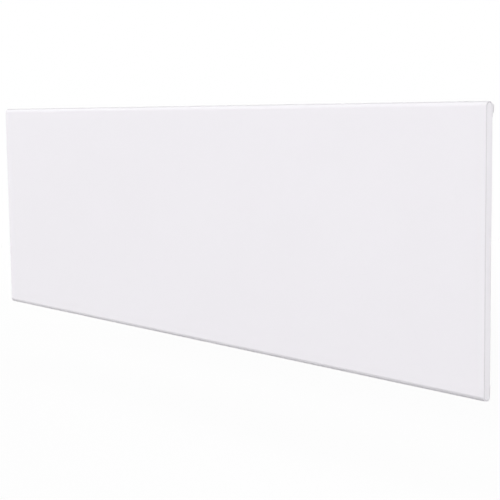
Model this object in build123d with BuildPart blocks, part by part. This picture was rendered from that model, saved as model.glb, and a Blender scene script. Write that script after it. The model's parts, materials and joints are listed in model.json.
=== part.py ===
from build123d import *
import math
import os

# Convector panel heater with a lidded control box at its right end, in millimetres.
# X runs along the heater to the viewer's right, Y runs back to the wall and Z runs up.
# The origin is the centre of the wall bracket's screw pattern, on the wall.

# Overall sizes
panel_length = 1160
panel_height = 370
panel_thickness = 13
casing_depth = 46
wall_gap = 20
overrun = 2

# Front panel
panel_skin = 1.2
panel_lip = 13.3
lip_rivet_drop = 17
rivet_count = 7
rivet_end_margin = 95
rivet_radius = 1.6
rivet_head_radius = 2.4
rivet_head = 0.8
rivet_fit = 0.1

# End caps
cap_depth = 9
cap_wall = 1.6
cap_face = 2.4
cap_fit = 0.1
cap_edge = 0.5
snap_reach = 7.2
snap_thickness = 3
snap_height = 9
snap_fit = 0.15
snap_from_front = 4.2
snap_drop = 36.5
snap_window_length = 5.6
snap_window_height = 5.4
snap_nib_radius = 2
snap_nib_lead = 0.5

# Rear casing
casing_inset = 8
casing_end_inset = 1.5
casing_sheet = 1.0
casing_flange = 12.5
casing_bend = 4
flange_bend = 1.6
side_slant = math.radians(40)
outlet_slope = math.radians(39.25)
seam = 0.2

# Outlet grille
outlet_front_margin = 5.2
outlet_rear_margin = 5.4
outlet_left_margin = 52
outlet_right_margin = 6
grille_lap = 1.6
grille_sheet = 1.2
grille_pitch = 8
grille_slot = 4
grille_front_row = 9.5
grille_rib = 7
grille_border = 1

# Inlet grille
inlet_front_margin = 9
inlet_rear_margin = 8
inlet_pitch = 14
inlet_slot = 5
inlet_border = 2.5

# Control housing
control_length = 137
box_wall = 2
box_corner = 2
box_top_round = 1.5
side_ledge = 3.2
side_ledge_drop = 0.8
tongue_length = 10
tongue_fit = 0.1
tongue_end_margin = 12
pry_slot_top = 1.9
pry_slot_height = 5.7
pry_slot_depth = 1.1

# Switch pocket
pocket_front = 9.7
pocket_rear = 32
pocket_top_drop = 31.6
pocket_bottom_drop = 72.8

# Rocker switch
bezel_width = 12.8
bezel_height = 33
bezel_proud = 1.6
bezel_round = 1.2
bezel_edge = 0.4
switch_width = 10.8
switch_height = 29.2
switch_depth = 16
switch_fit = 0.1
switch_mouth_width = 8.9
switch_mouth_height = 26.2
switch_mouth_depth = 8.5
rocker_width = 8.5
rocker_pivot_depth = 3
rocker_apex = 5
rocker_end_radius = 12.9
rocker_back = 1
rocker_tilt = math.radians(12)
rocker_pin_radius = 1.2
rocker_pin_fit = 0.05
terminal_width = 4.8
terminal_sheet = 0.8
terminal_length = 8
terminal_pitch = 9.5

# Push buttons
button_setback = 41.5
button_front_setback = 9.5
button_pitch = 13.15
button_row_gap = 87
button_hole_radius = 5.6
button_gap = 0.25
button_proud = 0.9
button_flange_radius = 6
button_flange = 1.1
button_stem_radius = 2
button_stem = 0.7
button_travel = 0.8
button_edge = 0.35
button_slack = 0.1

# Display and indicator lights
display_length = 18.3
display_depth = 16.2
display_offset = 42.85
display_behind = 8.1
display_fit = 0.1
display_recess = 0.2
display_flange = 1.2
display_flange_lap = 1.4
digit_block_margin = 0.4
light_offset = 19
light_pitch = 9.72
light_count = 6
light_behind = 24
light_radius = 1
light_fit = 0.05
light_flange_radius = 1.7
light_flange = 1
chip_size = 2
chip_height = 0.9

# Boards
board_sheet = 1.6
board_drop = 9.5
board_margin = 1.5
board_front_margin = 3
board_rear_margin = 3
tact_size = 6.2
tact_body = 3.5
tact_plunger_radius = 1.7
tact_plunger = 1.2
pillar_radius = 2.6
pillar_hole_radius = 1.1
board_screw_radius = 1
board_screw_head_radius = 2.2
board_screw_head = 1.4
board_screw_length = 6
pillar_x_offset = 23.5
pillar_front = 6
pillar_rear = 6.4
power_board_length = 74
power_board_height = 130
power_board_left = 12
power_board_rise = 22
power_pillar = 5
power_pillar_margin = 6
relay_size = (20, 16, 15.5)
transformer_size = (32, 27, 22)
transformer_core_share = 0.62
ribbon_width = 12
ribbon_thickness = 0.8
ribbon_front = 13
connector_depth = 6
connector_height = 5

# Lid and its hinge
lid_gap = 2.2
lid_sheet = 2
lid_overhang = 0.8
lid_front_gap = 0.3
lid_skirt = 1.5
lid_skirt_fit = 0.3
lid_left_overhang = 2.8
lid_rear_round = 1.8
lid_corner_round = 1.5
ear_thickness = 2.5
ear_gap = 0.3
ear_radius = 3
ear_low_angle = math.radians(20)
ear_tip_reach = 6.5
ear_bend_shares = (0.32, 0.6)
hinge_drop = 4.5
hinge_back_gap = 1.2
hinge_pin_radius = 1.2
hinge_pin_fit = 0.05
hinge_pin_seat = 2.3
notch_front_gap = 3.6
notch_floor_gap = 1.2
notch_wall = 1

# Mains inlet
gland_radius = 6.5
gland_bore_radius = 3.75
gland_collar_radius = 9
gland_collar = 2
gland_nut_radius = 9
gland_nut = 4
gland_tail = 4
gland_left = 58
gland_fit = 0.1
terminal_block_size = (34, 15, 15)
terminal_block_rise = 24
block_screw_radius = 2.2
block_screw_depth = 5

# Heating element
element_left_margin = 75
element_right_margin = 38
element_rise = 82
element_depth = 25
element_tube_radius = 4
element_hub_radius = 6
element_fin_reach = 14
element_fin = 1.2
element_gap = 4
element_gap_pitch = 52
element_end_bare = 34
element_fit = 0.05
insulator_radius = 8
insulator_collar_radius = 10
insulator_length = 10
insulator_collar = 3
insulator_fit = 0.1
bracket_sheet = 1.5
bracket_base = 12
element_bracket_height = 34
element_bracket_margin = 12

# Heat shield, thermal cut-out and sensor
shield_sheet = 0.8
shield_standoff = 7
shield_slope = 7
shield_left_margin = 50
shield_right_margin = 6
cutout_radius = 8
cutout_body = 8
cutout_ear_length = 30
cutout_ear_width = 8
cutout_ear = 1
cutout_left_of_box = 190
cutout_rise = 55
sensor_radius = 2.6
sensor_round = 2.3
sensor_length = 12
sensor_base_radius = 4.5
sensor_base = 2
sensor_left = 20
grommet_radius = 7
grommet_bore = 5
grommet_flange = 8.6
grommet_flange_thickness = 1.2
lead_radius = 1.3
lead_pitch = 5
lead_bend = 7
switch_lead_bend = 5.6

# Housing screws
screw_radius = 1.6
screw_head_radius = 3.2
screw_head = 1.8
screw_length = 6
screw_hole_fit = 0.15
screw_share = 0.6
screw_height_shares = (0.6, 0.0, -0.75)

# Wall bracket
hook_pitch = 620
hook_spacing = 230
bracket_hole_spacing_x = 520
bracket_hole_spacing_y = 200
bracket_hole_radius = 2.75
rail_height = 30
rail_sheet = 1.5
rail_stiffener = 4
upright_sheet = 2
upright_width = 22
upright_height = 290
hook_neck = 16
hook_rise = 9
hook_reach = 6
hook_slack = 0.2
hook_slot_width = 4
hook_slot_gap = 1
lock_screw_radius = 2.4
lock_screw_head_radius = 4.5
lock_screw_head = 2.5
lock_tab_height = 14
lock_tab_width = 14
tab_bend = 3
tab_gap = 0.2
bumper_radius = 9
bumper_neck_radius = 3
bumper_taper = 8
bumper_head_radius = 4.2
bumper_head = 2
bumper_fit = 0.1
bumper_end_margin = 88
bumper_rise = 18

# Depths and levels worked out from the sizes
casing_rear_y = -wall_gap
casing_inner_y = casing_rear_y - casing_sheet
panel_rear_y = casing_rear_y - casing_depth
panel_mid_y = panel_rear_y - panel_thickness / 2
panel_top = panel_height / 2
panel_end = panel_length / 2
casing_top = panel_top - casing_inset
casing_bottom = -casing_top
side_front_x = panel_end - casing_end_inset
box_left = side_front_x - control_length
box_inner_left = box_left + box_wall
casing_right = box_left - seam
box_rear_inner_y = casing_rear_y - box_wall
slope_length = casing_depth / math.cos(outlet_slope)
slope_rear_z = casing_top - casing_depth * math.tan(outlet_slope)
lip_rivet_z = panel_top - lip_rivet_drop
near_row_x = side_front_x - button_setback
far_row_x = near_row_x - button_row_gap
first_button_y = panel_rear_y + button_front_setback
board_top = casing_top - board_drop
hinge_z = casing_top - hinge_drop
hinge_y = casing_rear_y + hinge_back_gap - lid_gap - hinge_drop
lid_under = casing_top + lid_gap
lid_top = lid_under + lid_sheet
pocket_front_y = panel_rear_y + pocket_front
pocket_rear_y = panel_rear_y + pocket_rear
pocket_top = casing_top - pocket_top_drop
pocket_bottom = casing_top - pocket_bottom_drop
element_y = casing_rear_y - element_depth
element_z = casing_bottom + element_rise
element_left = -side_front_x + element_left_margin
element_right = box_left - element_right_margin


def side_x(y, inset=0):
    """X of the slanted right side at depth y, moved inwards by inset."""
    return side_front_x - (y - panel_rear_y) * math.tan(side_slant) - inset / math.cos(side_slant)


def side_y(x, outset=0):
    """Depth at which the slanted right side, moved outwards by outset, reaches x."""
    return panel_rear_y + (side_front_x + outset / math.cos(side_slant) - x) / math.tan(side_slant)


pocket_wall_x = side_x(pocket_rear_y)
switch_y = (pocket_front_y + pocket_rear_y) / 2
switch_z = (pocket_top + pocket_bottom) / 2

# Plane on the slanted right side: x runs rearwards along the side, y runs up
side_plane = Plane(
    origin=(side_front_x, panel_rear_y, 0),
    x_dir=(-math.sin(side_slant), math.cos(side_slant), 0),
    z_dir=(math.cos(side_slant), math.sin(side_slant), 0),
)
# The same on the left side, facing out
left_side_plane = Plane(
    origin=(-side_front_x, panel_rear_y, 0),
    x_dir=(math.sin(side_slant), math.cos(side_slant), 0),
    z_dir=(-math.cos(side_slant), math.sin(side_slant), 0),
)
# Plane on the sloping top: x runs along the heater, y runs down to the rear
slope_plane = Plane(
    origin=(0, panel_rear_y, casing_top),
    x_dir=(1, 0, 0),
    z_dir=(0, math.sin(outlet_slope), math.cos(outlet_slope)),
)

os.makedirs("parts", exist_ok=True)

rivet_pitch = (box_left + side_front_x - 2 * rivet_end_margin) / (rivet_count - 1)
rivet_middle_x = (box_left - side_front_x) / 2
rivet_places = [
    (rivet_middle_x + (place - (rivet_count - 1) / 2) * rivet_pitch, side * lip_rivet_z)
    for place in range(rivet_count)
    for side in (-1, 1)
]

# Front panel: one folded sheet, round along its top and bottom, with a return at the back
with BuildPart() as front_panel:
    with BuildSketch(Plane.YZ.offset(-panel_end)):
        with Locations((panel_mid_y, 0)):
            SlotOverall(panel_height, panel_thickness, rotation=90)
            SlotOverall(
                panel_height - 2 * panel_skin,
                panel_thickness - 2 * panel_skin,
                rotation=90,
                mode=Mode.SUBTRACT,
            )
        with Locations((panel_rear_y, 0)):
            lip_opening = panel_height - panel_thickness - 2 * panel_lip
            Rectangle(3 * panel_skin, lip_opening, mode=Mode.SUBTRACT)
    extrude(amount=panel_length)
    with BuildSketch(Plane.XZ.offset(-panel_rear_y)):
        with Locations(*rivet_places):
            Circle(rivet_radius + rivet_fit)
    extrude(amount=2 * panel_skin, mode=Mode.SUBTRACT)
front_panel.part.label = "front_panel"
export_step(front_panel.part, "parts/front_panel.step")

# Right end cap: a shallow tray inside the panel's end, with two snaps that reach into the housing
cap_height = panel_height - 2 * (panel_skin + cap_fit)
cap_thickness = panel_thickness - 2 * (panel_skin + cap_fit)
cap_inner_x = panel_end - cap_depth
cap_rear_y = panel_rear_y - panel_skin - cap_fit
snap_z = casing_top - snap_drop
with BuildPart() as end_cap_right:
    with BuildSketch(Plane.YZ.offset(cap_inner_x)):
        with Locations((panel_mid_y, 0)):
            SlotOverall(cap_height, cap_thickness, rotation=90)
    extrude(amount=cap_depth)
    chamfer(end_cap_right.faces().sort_by(Axis.X)[-1].edges(), cap_edge)
    with BuildSketch(Plane.YZ.offset(cap_inner_x)):
        with Locations((panel_mid_y, 0)):
            SlotOverall(cap_height - 2 * cap_wall, cap_thickness - 2 * cap_wall, rotation=90)
    extrude(amount=cap_depth - cap_face, mode=Mode.SUBTRACT)
    # land that fills the gap between the panel's two returns
    with BuildSketch(Plane.YZ.offset(panel_end - cap_face)):
        with Locations((panel_rear_y - cap_fit, 0)):
            Rectangle(
                panel_skin + cap_wall / 2,
                lip_opening - 2 * cap_fit,
                align=(Align.MAX, Align.CENTER),
            )
    extrude(amount=cap_face - cap_edge)
    snap_outer_x = side_x(panel_rear_y, box_wall + snap_fit)
    snap_tip_y = panel_rear_y + snap_reach
    snap_tip_x = side_x(snap_tip_y, box_wall + snap_fit)
    for snap_side in (-1, 1):
        with BuildSketch(Plane.XY.offset(snap_side * snap_z - snap_height / 2)):
            with BuildLine():
                Polyline(
                    (snap_outer_x - snap_thickness, cap_rear_y - cap_wall / 2),
                    (snap_outer_x, cap_rear_y - cap_wall / 2),
                    (snap_outer_x, panel_rear_y),
                    (snap_tip_x, snap_tip_y),
                    (snap_tip_x - snap_thickness, snap_tip_y),
                    (snap_outer_x - snap_thickness, panel_rear_y),
                    close=True,
                )
            make_face()
        extrude(amount=snap_height)
        with BuildSketch(side_plane.offset(-box_wall - snap_thickness / 2)):
            with Locations((snap_from_front + snap_nib_lead, snap_side * snap_z)):
                Circle(snap_nib_radius)
        extrude(amount=box_wall + snap_thickness / 2 - snap_fit)
end_cap_right.part.label = "end_cap_right"
export_step(end_cap_right.part, "parts/end_cap_right.step")

# Left end cap: the mirror image of the right one
with BuildPart() as end_cap_left:
    add(mirror(end_cap_right.part, about=Plane.YZ))
end_cap_left.part.label = "end_cap_left"
export_step(end_cap_left.part, "parts/end_cap_left.step")

# Left end wall of the casing: a slanted slice of the closed casing outline
casing_corners = [
    (panel_rear_y, casing_top),
    (casing_rear_y, slope_rear_z),
    (casing_rear_y, casing_bottom),
    (panel_rear_y, casing_bottom),
]
with BuildPart() as left_end_wall:
    with BuildSketch(Plane.YZ.offset(-side_front_x - overrun)) as end_outline:
        with BuildLine():
            FilletPolyline(
                *casing_corners,
                radius=[flange_bend, casing_bend, casing_bend, flange_bend],
                close=True,
            )
        make_face()
    extrude(amount=casing_depth + 2 * overrun)
    split(bisect_by=left_side_plane, keep=Keep.BOTTOM)
    split(bisect_by=left_side_plane.offset(-casing_sheet), keep=Keep.TOP)
    with BuildSketch(left_side_plane):
        with Locations((snap_from_front, snap_z), (snap_from_front, -snap_z)):
            Rectangle(snap_window_length, snap_window_height)
    extrude(amount=-2 * casing_sheet, mode=Mode.SUBTRACT)

hook_slot_height = hook_neck + hook_rise + hook_slot_gap
hook_places = [
    (side * hook_pitch / 2, (level * hook_spacing - hook_slot_height) / 2)
    for side in (-1, 1)
    for level in (-1, 1)
]
housing_screw_x = box_left - tongue_length * screw_share
screw_places = [(housing_screw_x, share * casing_top) for share in screw_height_shares]
bumper_places = [
    (side * (hook_pitch / 2 + bumper_end_margin), casing_bottom + bumper_rise) for side in (-1, 1)
]
lock_place = (0, -bracket_hole_spacing_y / 2 - rail_height / 2 - lock_tab_height / 2)

# Rear casing: folded sheet with flanges against the panel, a window in the slope and one below
with BuildPart() as rear_casing:
    with BuildSketch(Plane.YZ.offset(-side_front_x)):
        with BuildLine():
            FilletPolyline(
                (panel_rear_y, casing_top - casing_flange),
                *casing_corners,
                (panel_rear_y, casing_bottom + casing_flange),
                radius=[flange_bend, casing_bend, casing_bend, flange_bend],
            )
            offset(amount=casing_sheet, side=Side.RIGHT)
        make_face()
    extrude(amount=side_front_x + casing_right)
    split(bisect_by=left_side_plane, keep=Keep.BOTTOM)
    add(left_end_wall.part)
    outlet_left = -side_front_x + outlet_left_margin
    outlet_right = casing_right - outlet_right_margin
    outlet_rear = slope_length - outlet_rear_margin
    with BuildSketch(slope_plane):
        with Locations(((outlet_left + outlet_right) / 2, (outlet_front_margin + outlet_rear) / 2)):
            Rectangle(outlet_right - outlet_left, outlet_rear - outlet_front_margin)
    extrude(amount=casing_sheet, both=True, mode=Mode.SUBTRACT)
    inlet_front_y = panel_rear_y + inlet_front_margin
    inlet_rear_y = casing_rear_y - inlet_rear_margin
    with BuildSketch(Plane.XY.offset(casing_bottom)):
        with Locations(((outlet_left + outlet_right) / 2, (inlet_front_y + inlet_rear_y) / 2)):
            Rectangle(outlet_right - outlet_left, inlet_rear_y - inlet_front_y)
    extrude(amount=casing_sheet, both=True, mode=Mode.SUBTRACT)
    with BuildSketch(Plane.XZ.offset(-casing_rear_y)):
        with Locations(*hook_places):
            Rectangle(hook_slot_width, hook_slot_height)
        with Locations(*screw_places):
            Circle(screw_radius + screw_hole_fit)
        with Locations(*bumper_places):
            Circle(bumper_neck_radius + bumper_fit)
        with Locations(lock_place):
            Circle(lock_screw_radius + screw_hole_fit)
    extrude(amount=casing_sheet, both=True, mode=Mode.SUBTRACT)
    with BuildSketch(Plane.XZ.offset(-panel_rear_y)):
        with Locations(*rivet_places):
            Circle(rivet_radius + rivet_fit)
    extrude(amount=-2 * casing_sheet, mode=Mode.SUBTRACT)
rear_casing.part.label = "rear_casing"
export_step(rear_casing.part, "parts/rear_casing.step")

# Outlet grille: a slatted sheet under the sloping window, two rows of slots beside one long rib
grille_front = outlet_front_margin - grille_lap
grille_rear = outlet_rear + grille_lap
grille_middle_x = (outlet_left + outlet_right) / 2
grille_length = outlet_right - outlet_left + 2 * grille_lap
slot_columns = int((outlet_right - outlet_left - grille_slot) / grille_pitch) + 1
front_row_middle = outlet_front_margin + grille_border + grille_front_row / 2
rear_row_front = outlet_front_margin + grille_border + grille_front_row + grille_rib
rear_row_length = outlet_rear - grille_border - rear_row_front
rear_row_middle = rear_row_front + rear_row_length / 2
with BuildPart() as outlet_grille:
    with BuildSketch(slope_plane.offset(-casing_sheet)):
        with Locations((grille_middle_x, (grille_front + grille_rear) / 2)):
            Rectangle(grille_length, grille_rear - grille_front)
        with Locations((grille_middle_x, front_row_middle)):
            with GridLocations(grille_pitch, 0, slot_columns, 1):
                Rectangle(grille_slot, grille_front_row, mode=Mode.SUBTRACT)
        with Locations((grille_middle_x, rear_row_middle)):
            with GridLocations(grille_pitch, 0, slot_columns, 1):
                Rectangle(grille_slot, rear_row_length, mode=Mode.SUBTRACT)
    extrude(amount=-grille_sheet)
outlet_grille.part.label = "outlet_grille"
export_step(outlet_grille.part, "parts/outlet_grille.step")

# Inlet grille: a slotted sheet over the bottom window
inlet_columns = int((outlet_right - outlet_left - inlet_slot) / inlet_pitch) + 1
with BuildPart() as inlet_grille:
    with BuildSketch(Plane.XY.offset(casing_bottom + casing_sheet)):
        with Locations((grille_middle_x, (inlet_front_y + inlet_rear_y) / 2)):
            Rectangle(grille_length, inlet_rear_y - inlet_front_y + 2 * grille_lap)
            with GridLocations(inlet_pitch, 0, inlet_columns, 1):
                SlotOverall(
                    inlet_rear_y - inlet_front_y - 2 * inlet_border,
                    inlet_slot,
                    rotation=90,
                    mode=Mode.SUBTRACT,
                )
    extrude(amount=grille_sheet)
inlet_grille.part.label = "inlet_grille"
export_step(inlet_grille.part, "parts/inlet_grille.step")

# Control housing: a moulded box open to the panel, with its slanted side, pocket and flat top
button_places = [
    (row_x, first_button_y + column * button_pitch)
    for row_x in (near_row_x, far_row_x)
    for column in range(3)
]
display_x = near_row_x - display_offset
display_y = first_button_y + display_behind
light_y = first_button_y + light_behind
light_places = [
    (near_row_x - light_offset - place * light_pitch, light_y) for place in range(light_count)
]
pillar_places = [
    (near_row_x - pillar_x_offset, panel_rear_y + pillar_front),
    (far_row_x + pillar_x_offset, panel_rear_y + pillar_front),
    (near_row_x - pillar_x_offset / 2, casing_rear_y - pillar_rear),
    (far_row_x + pillar_x_offset / 2, casing_rear_y - pillar_rear),
]
power_board_top = element_z + power_board_rise + power_board_height
power_middle_x = box_left + power_board_left + power_board_length / 2
power_middle_z = power_board_top - power_board_height / 2
ear_right_x = near_row_x + button_flange_radius + button_slack + notch_wall + ear_gap
notch_x = ear_right_x - ear_gap
notch_front_y = hinge_y - ear_radius - notch_front_gap
notch_bottom = hinge_z - ear_radius - notch_floor_gap
pin_seat_x = side_x(hinge_y) - hinge_pin_seat
gland_x = box_left + gland_left
gland_y = (panel_rear_y + casing_rear_y) / 2
with BuildPart() as control_housing:
    with BuildSketch(Plane.XY.offset(casing_bottom)):
        with BuildLine():
            Polyline(
                (box_left, panel_rear_y),
                (side_front_x, panel_rear_y),
                (side_x(casing_rear_y), casing_rear_y),
                (box_left, casing_rear_y),
                close=True,
            )
        make_face()
    extrude(amount=casing_top - casing_bottom)
    rear_corner = control_housing.edges().filter_by(Axis.Z).group_by(Axis.Y)[-1].sort_by(Axis.X)[-1]
    fillet(rear_corner, box_corner)
    rear_top_edge = control_housing.faces().sort_by(Axis.Z)[-1].edges().filter_by(Axis.X)
    fillet(rear_top_edge.sort_by(Axis.Y)[-1], box_top_round)
    with BuildSketch(Plane.XY.offset(casing_bottom + box_wall)):
        with BuildLine():
            Polyline(
                (box_inner_left, panel_rear_y - overrun),
                (side_x(panel_rear_y - overrun, box_wall), panel_rear_y - overrun),
                (side_x(box_rear_inner_y, box_wall), box_rear_inner_y),
                (box_inner_left, box_rear_inner_y),
                close=True,
            )
        make_face()
    extrude(amount=casing_top - casing_bottom - 2 * box_wall, mode=Mode.SUBTRACT)
    # pocket walls, then the pocket and the switch's opening
    with BuildSketch(Plane.XY.offset(pocket_bottom - box_wall)):
        with BuildLine():
            Polyline(
                (pocket_wall_x - box_wall, pocket_front_y - box_wall),
                (side_x(pocket_front_y - box_wall), pocket_front_y - box_wall),
                (side_x(pocket_rear_y + box_wall), pocket_rear_y + box_wall),
                (pocket_wall_x - box_wall, pocket_rear_y + box_wall),
                close=True,
            )
        make_face()
    extrude(amount=pocket_top - pocket_bottom + 2 * box_wall)
    with BuildSketch(Plane.XY.offset(pocket_bottom)):
        with Locations((pocket_wall_x, pocket_front_y)):
            Rectangle(
                side_x(pocket_front_y) - pocket_wall_x + overrun,
                pocket_rear - pocket_front,
                align=(Align.MIN, Align.MIN),
            )
    extrude(amount=pocket_top - pocket_bottom, mode=Mode.SUBTRACT)
    with BuildSketch(Plane.YZ.offset(pocket_wall_x - box_wall)):
        with Locations((switch_y, switch_z)):
            Rectangle(switch_width + 2 * switch_fit, switch_height + 2 * switch_fit)
    extrude(amount=box_wall, both=True, mode=Mode.SUBTRACT)
    # control surface openings and the step along the slanted edge
    with BuildSketch(Plane.XY.offset(casing_top)):
        with Locations(*button_places):
            Circle(button_hole_radius)
        with Locations((display_x, display_y)):
            Rectangle(display_length, display_depth)
        with Locations(*light_places):
            Circle(light_radius + light_fit)
    extrude(amount=-box_wall, mode=Mode.SUBTRACT)
    with BuildSketch(Plane.XY.offset(casing_top)):
        with BuildLine():
            Polyline(
                (side_x(panel_rear_y - overrun, side_ledge), panel_rear_y - overrun),
                (side_x(panel_rear_y - overrun, -side_ledge), panel_rear_y - overrun),
                (side_x(casing_rear_y + overrun, -side_ledge), casing_rear_y + overrun),
                (side_x(casing_rear_y + overrun, side_ledge), casing_rear_y + overrun),
                close=True,
            )
        make_face()
    extrude(amount=-side_ledge_drop, mode=Mode.SUBTRACT)
    # notch for the lid's right ear, lined by a thin wall, and the two pin holes
    with BuildSketch(Plane.XY.offset(notch_bottom - notch_wall)):
        with BuildLine():
            Polyline(
                (notch_x - notch_wall, notch_front_y - notch_wall),
                (side_x(notch_front_y - notch_wall), notch_front_y - notch_wall),
                (notch_x - notch_wall, side_y(notch_x - notch_wall)),
                close=True,
            )
        make_face()
    extrude(amount=casing_top - box_wall / 2 - notch_bottom + notch_wall)
    with BuildSketch(Plane.XY.offset(notch_bottom)):
        with Locations((notch_x, notch_front_y)):
            Rectangle(casing_depth, casing_depth, align=(Align.MIN, Align.MIN))
    extrude(amount=casing_depth, mode=Mode.SUBTRACT)
    with BuildSketch(Plane.YZ.offset(box_left)):
        with Locations((hinge_y, hinge_z)):
            Circle(hinge_pin_radius)
    extrude(amount=box_wall, mode=Mode.SUBTRACT)
    with BuildSketch(Plane.YZ.offset(pin_seat_x)):
        with Locations((hinge_y, hinge_z)):
            Circle(hinge_pin_radius)
    extrude(amount=casing_depth, mode=Mode.SUBTRACT)
    # snap windows and the pry slot in the slanted side
    with BuildSketch(side_plane):
        with Locations((snap_from_front, snap_z), (snap_from_front, -snap_z)):
            Rectangle(snap_window_length, snap_window_height)
    extrude(amount=-2 * box_wall, mode=Mode.SUBTRACT)
    with BuildSketch(side_plane):
        with Locations((0, casing_top - pry_slot_top)):
            Rectangle(pry_slot_depth, pry_slot_height, align=(Align.MIN, Align.MAX))
    extrude(amount=-2 * box_wall, mode=Mode.SUBTRACT)
    # tongue behind the casing's rear wall, with its screw holes
    tongue_outer_y = casing_inner_y - tongue_fit
    with BuildSketch(Plane.XZ.offset(-tongue_outer_y)):
        with Locations((box_left + box_wall, casing_bottom + tongue_end_margin)):
            Rectangle(
                tongue_length + box_wall,
                slope_rear_z - casing_bottom - 2 * tongue_end_margin,
                align=(Align.MAX, Align.MIN),
            )
        with Locations(*screw_places):
            Circle(screw_radius, mode=Mode.SUBTRACT)
    extrude(amount=box_wall)
    # pillars of both boards
    with BuildSketch(Plane.XY.offset(board_top)):
        with Locations(*pillar_places):
            Circle(pillar_radius)
            Circle(pillar_hole_radius, mode=Mode.SUBTRACT)
    extrude(amount=casing_top - box_wall - board_top)
    with BuildSketch(Plane.XZ.offset(-box_rear_inner_y)):
        with Locations((power_middle_x, power_middle_z)):
            with GridLocations(
                power_board_length - 2 * power_pillar_margin,
                power_board_height - 2 * power_pillar_margin,
                2,
                2,
            ):
                Circle(pillar_radius)
                Circle(pillar_hole_radius, mode=Mode.SUBTRACT)
    extrude(amount=power_pillar)
    # cord gland hole in the bottom, lead hole in the left wall
    with BuildSketch(Plane.XY.offset(casing_bottom)):
        with Locations((gland_x, gland_y)):
            Circle(gland_radius + gland_fit)
    extrude(amount=box_wall, mode=Mode.SUBTRACT)
    with BuildSketch(Plane.YZ.offset(box_left)):
        with Locations((element_y, element_z)):
            Circle(grommet_radius)
    extrude(amount=box_wall, mode=Mode.SUBTRACT)
control_housing.part.label = "control_housing"
export_step(control_housing.part, "parts/control_housing.step")

# Lid: a thin plate over the control surface, a skirt on the slanted edge and an ear at each end
lid_left_x = box_left - lid_left_overhang
lid_front_y = panel_rear_y + lid_front_gap
lid_rear_y = hinge_y + ear_radius
lid_right_x = ear_right_x + ear_thickness
lid_turn_y = side_y(lid_right_x, lid_overhang)
with BuildPart() as control_lid:
    with BuildSketch(Plane.XY.offset(lid_under)):
        with BuildLine():
            Polyline(
                (lid_left_x, lid_front_y),
                (side_x(lid_front_y, -lid_overhang), lid_front_y),
                (lid_right_x, lid_turn_y),
                (lid_right_x, lid_rear_y),
                (lid_left_x, lid_rear_y),
                close=True,
            )
        make_face()
    extrude(amount=lid_sheet)
    skirt_rear_y = notch_front_y - lid_skirt
    with BuildSketch(Plane.XY.offset(casing_top - side_ledge_drop + lid_skirt_fit)):
        with BuildLine():
            Polyline(
                (side_x(lid_front_y, lid_skirt - lid_overhang), lid_front_y),
                (side_x(lid_front_y, -lid_overhang), lid_front_y),
                (side_x(skirt_rear_y, -lid_overhang), skirt_rear_y),
                (side_x(skirt_rear_y, lid_skirt - lid_overhang), skirt_rear_y),
                close=True,
            )
        make_face()
    extrude(amount=lid_under + side_ledge_drop - casing_top - lid_skirt_fit)
    ear_low_y = hinge_y - ear_radius * math.cos(ear_low_angle)
    ear_low_z = hinge_z - ear_radius * math.sin(ear_low_angle)
    ear_tip_y = ear_low_y - ear_tip_reach
    ear_bend_y = ear_low_y - ear_tip_reach * ear_bend_shares[0]
    ear_bend_z = ear_low_z + (lid_under - ear_low_z) * ear_bend_shares[1]
    for ear_x in (lid_left_x, ear_right_x):
        with BuildSketch(Plane.YZ.offset(ear_x)):
            with BuildLine():
                ThreePointArc((ear_tip_y, lid_under), (ear_bend_y, ear_bend_z), (ear_low_y, ear_low_z))
                Polyline(
                    (ear_low_y, ear_low_z),
                    (hinge_y, hinge_z),
                    (lid_rear_y, hinge_z),
                    (lid_rear_y, lid_under + lid_sheet / 2),
                    (ear_tip_y, lid_under + lid_sheet / 2),
                    (ear_tip_y, lid_under),
                )
            make_face()
            with Locations((hinge_y, hinge_z)):
                Circle(ear_radius)
                Circle(hinge_pin_radius + hinge_pin_fit, mode=Mode.SUBTRACT)
        extrude(amount=ear_thickness)
    lid_front_corner = control_lid.edges().filter_by(Axis.Z).sort_by(Axis.X)[-1]
    fillet(lid_front_corner, lid_corner_round)
    lid_rear_edge = control_lid.faces().sort_by(Axis.Z)[-1].edges().filter_by(Axis.X).sort_by(Axis.Y)[-1]
    fillet(lid_rear_edge, lid_rear_round)
control_lid.part.label = "control_lid"
export_step(control_lid.part, "parts/control_lid.step")

# Hinge pins: one through each ear into the housing
with BuildPart() as lid_hinge_pins:
    with BuildSketch(Plane.YZ.offset(lid_left_x)):
        with Locations((hinge_y, hinge_z)):
            Circle(hinge_pin_radius)
    extrude(amount=lid_left_overhang + box_wall)
    with BuildSketch(Plane.YZ.offset(lid_right_x)):
        with Locations((hinge_y, hinge_z)):
            Circle(hinge_pin_radius)
    extrude(amount=pin_seat_x - lid_right_x)
lid_hinge_pins.part.label = "lid_hinge_pins"
export_step(lid_hinge_pins.part, "parts/lid_hinge_pins.step")

# Display window: a tinted pane let in flush, with a flange under the control surface
with BuildPart() as display_window:
    with BuildSketch(Plane.XY.offset(casing_top - box_wall)):
        with Locations((display_x, display_y)):
            Rectangle(display_length - 2 * display_fit, display_depth - 2 * display_fit)
    extrude(amount=box_wall - display_recess)
    with BuildSketch(Plane.XY.offset(casing_top - box_wall)):
        with Locations((display_x, display_y)):
            Rectangle(display_length + 2 * display_flange_lap, display_depth + 2 * display_flange_lap)
    extrude(amount=-display_flange)
display_window.part.label = "display_window"
export_step(display_window.part, "parts/display_window.step")

# Display module: the two-digit block between the board and the window
display_module_height = board_drop - box_wall - display_flange
with BuildPart() as display_module:
    with BuildSketch(Plane.XY.offset(board_top)):
        with Locations((display_x, display_y)):
            Rectangle(display_length - 2 * digit_block_margin, display_depth - 2 * digit_block_margin)
    extrude(amount=display_module_height)
display_module.part.label = "display_module"
export_step(display_module.part, "parts/display_module.step")

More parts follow.
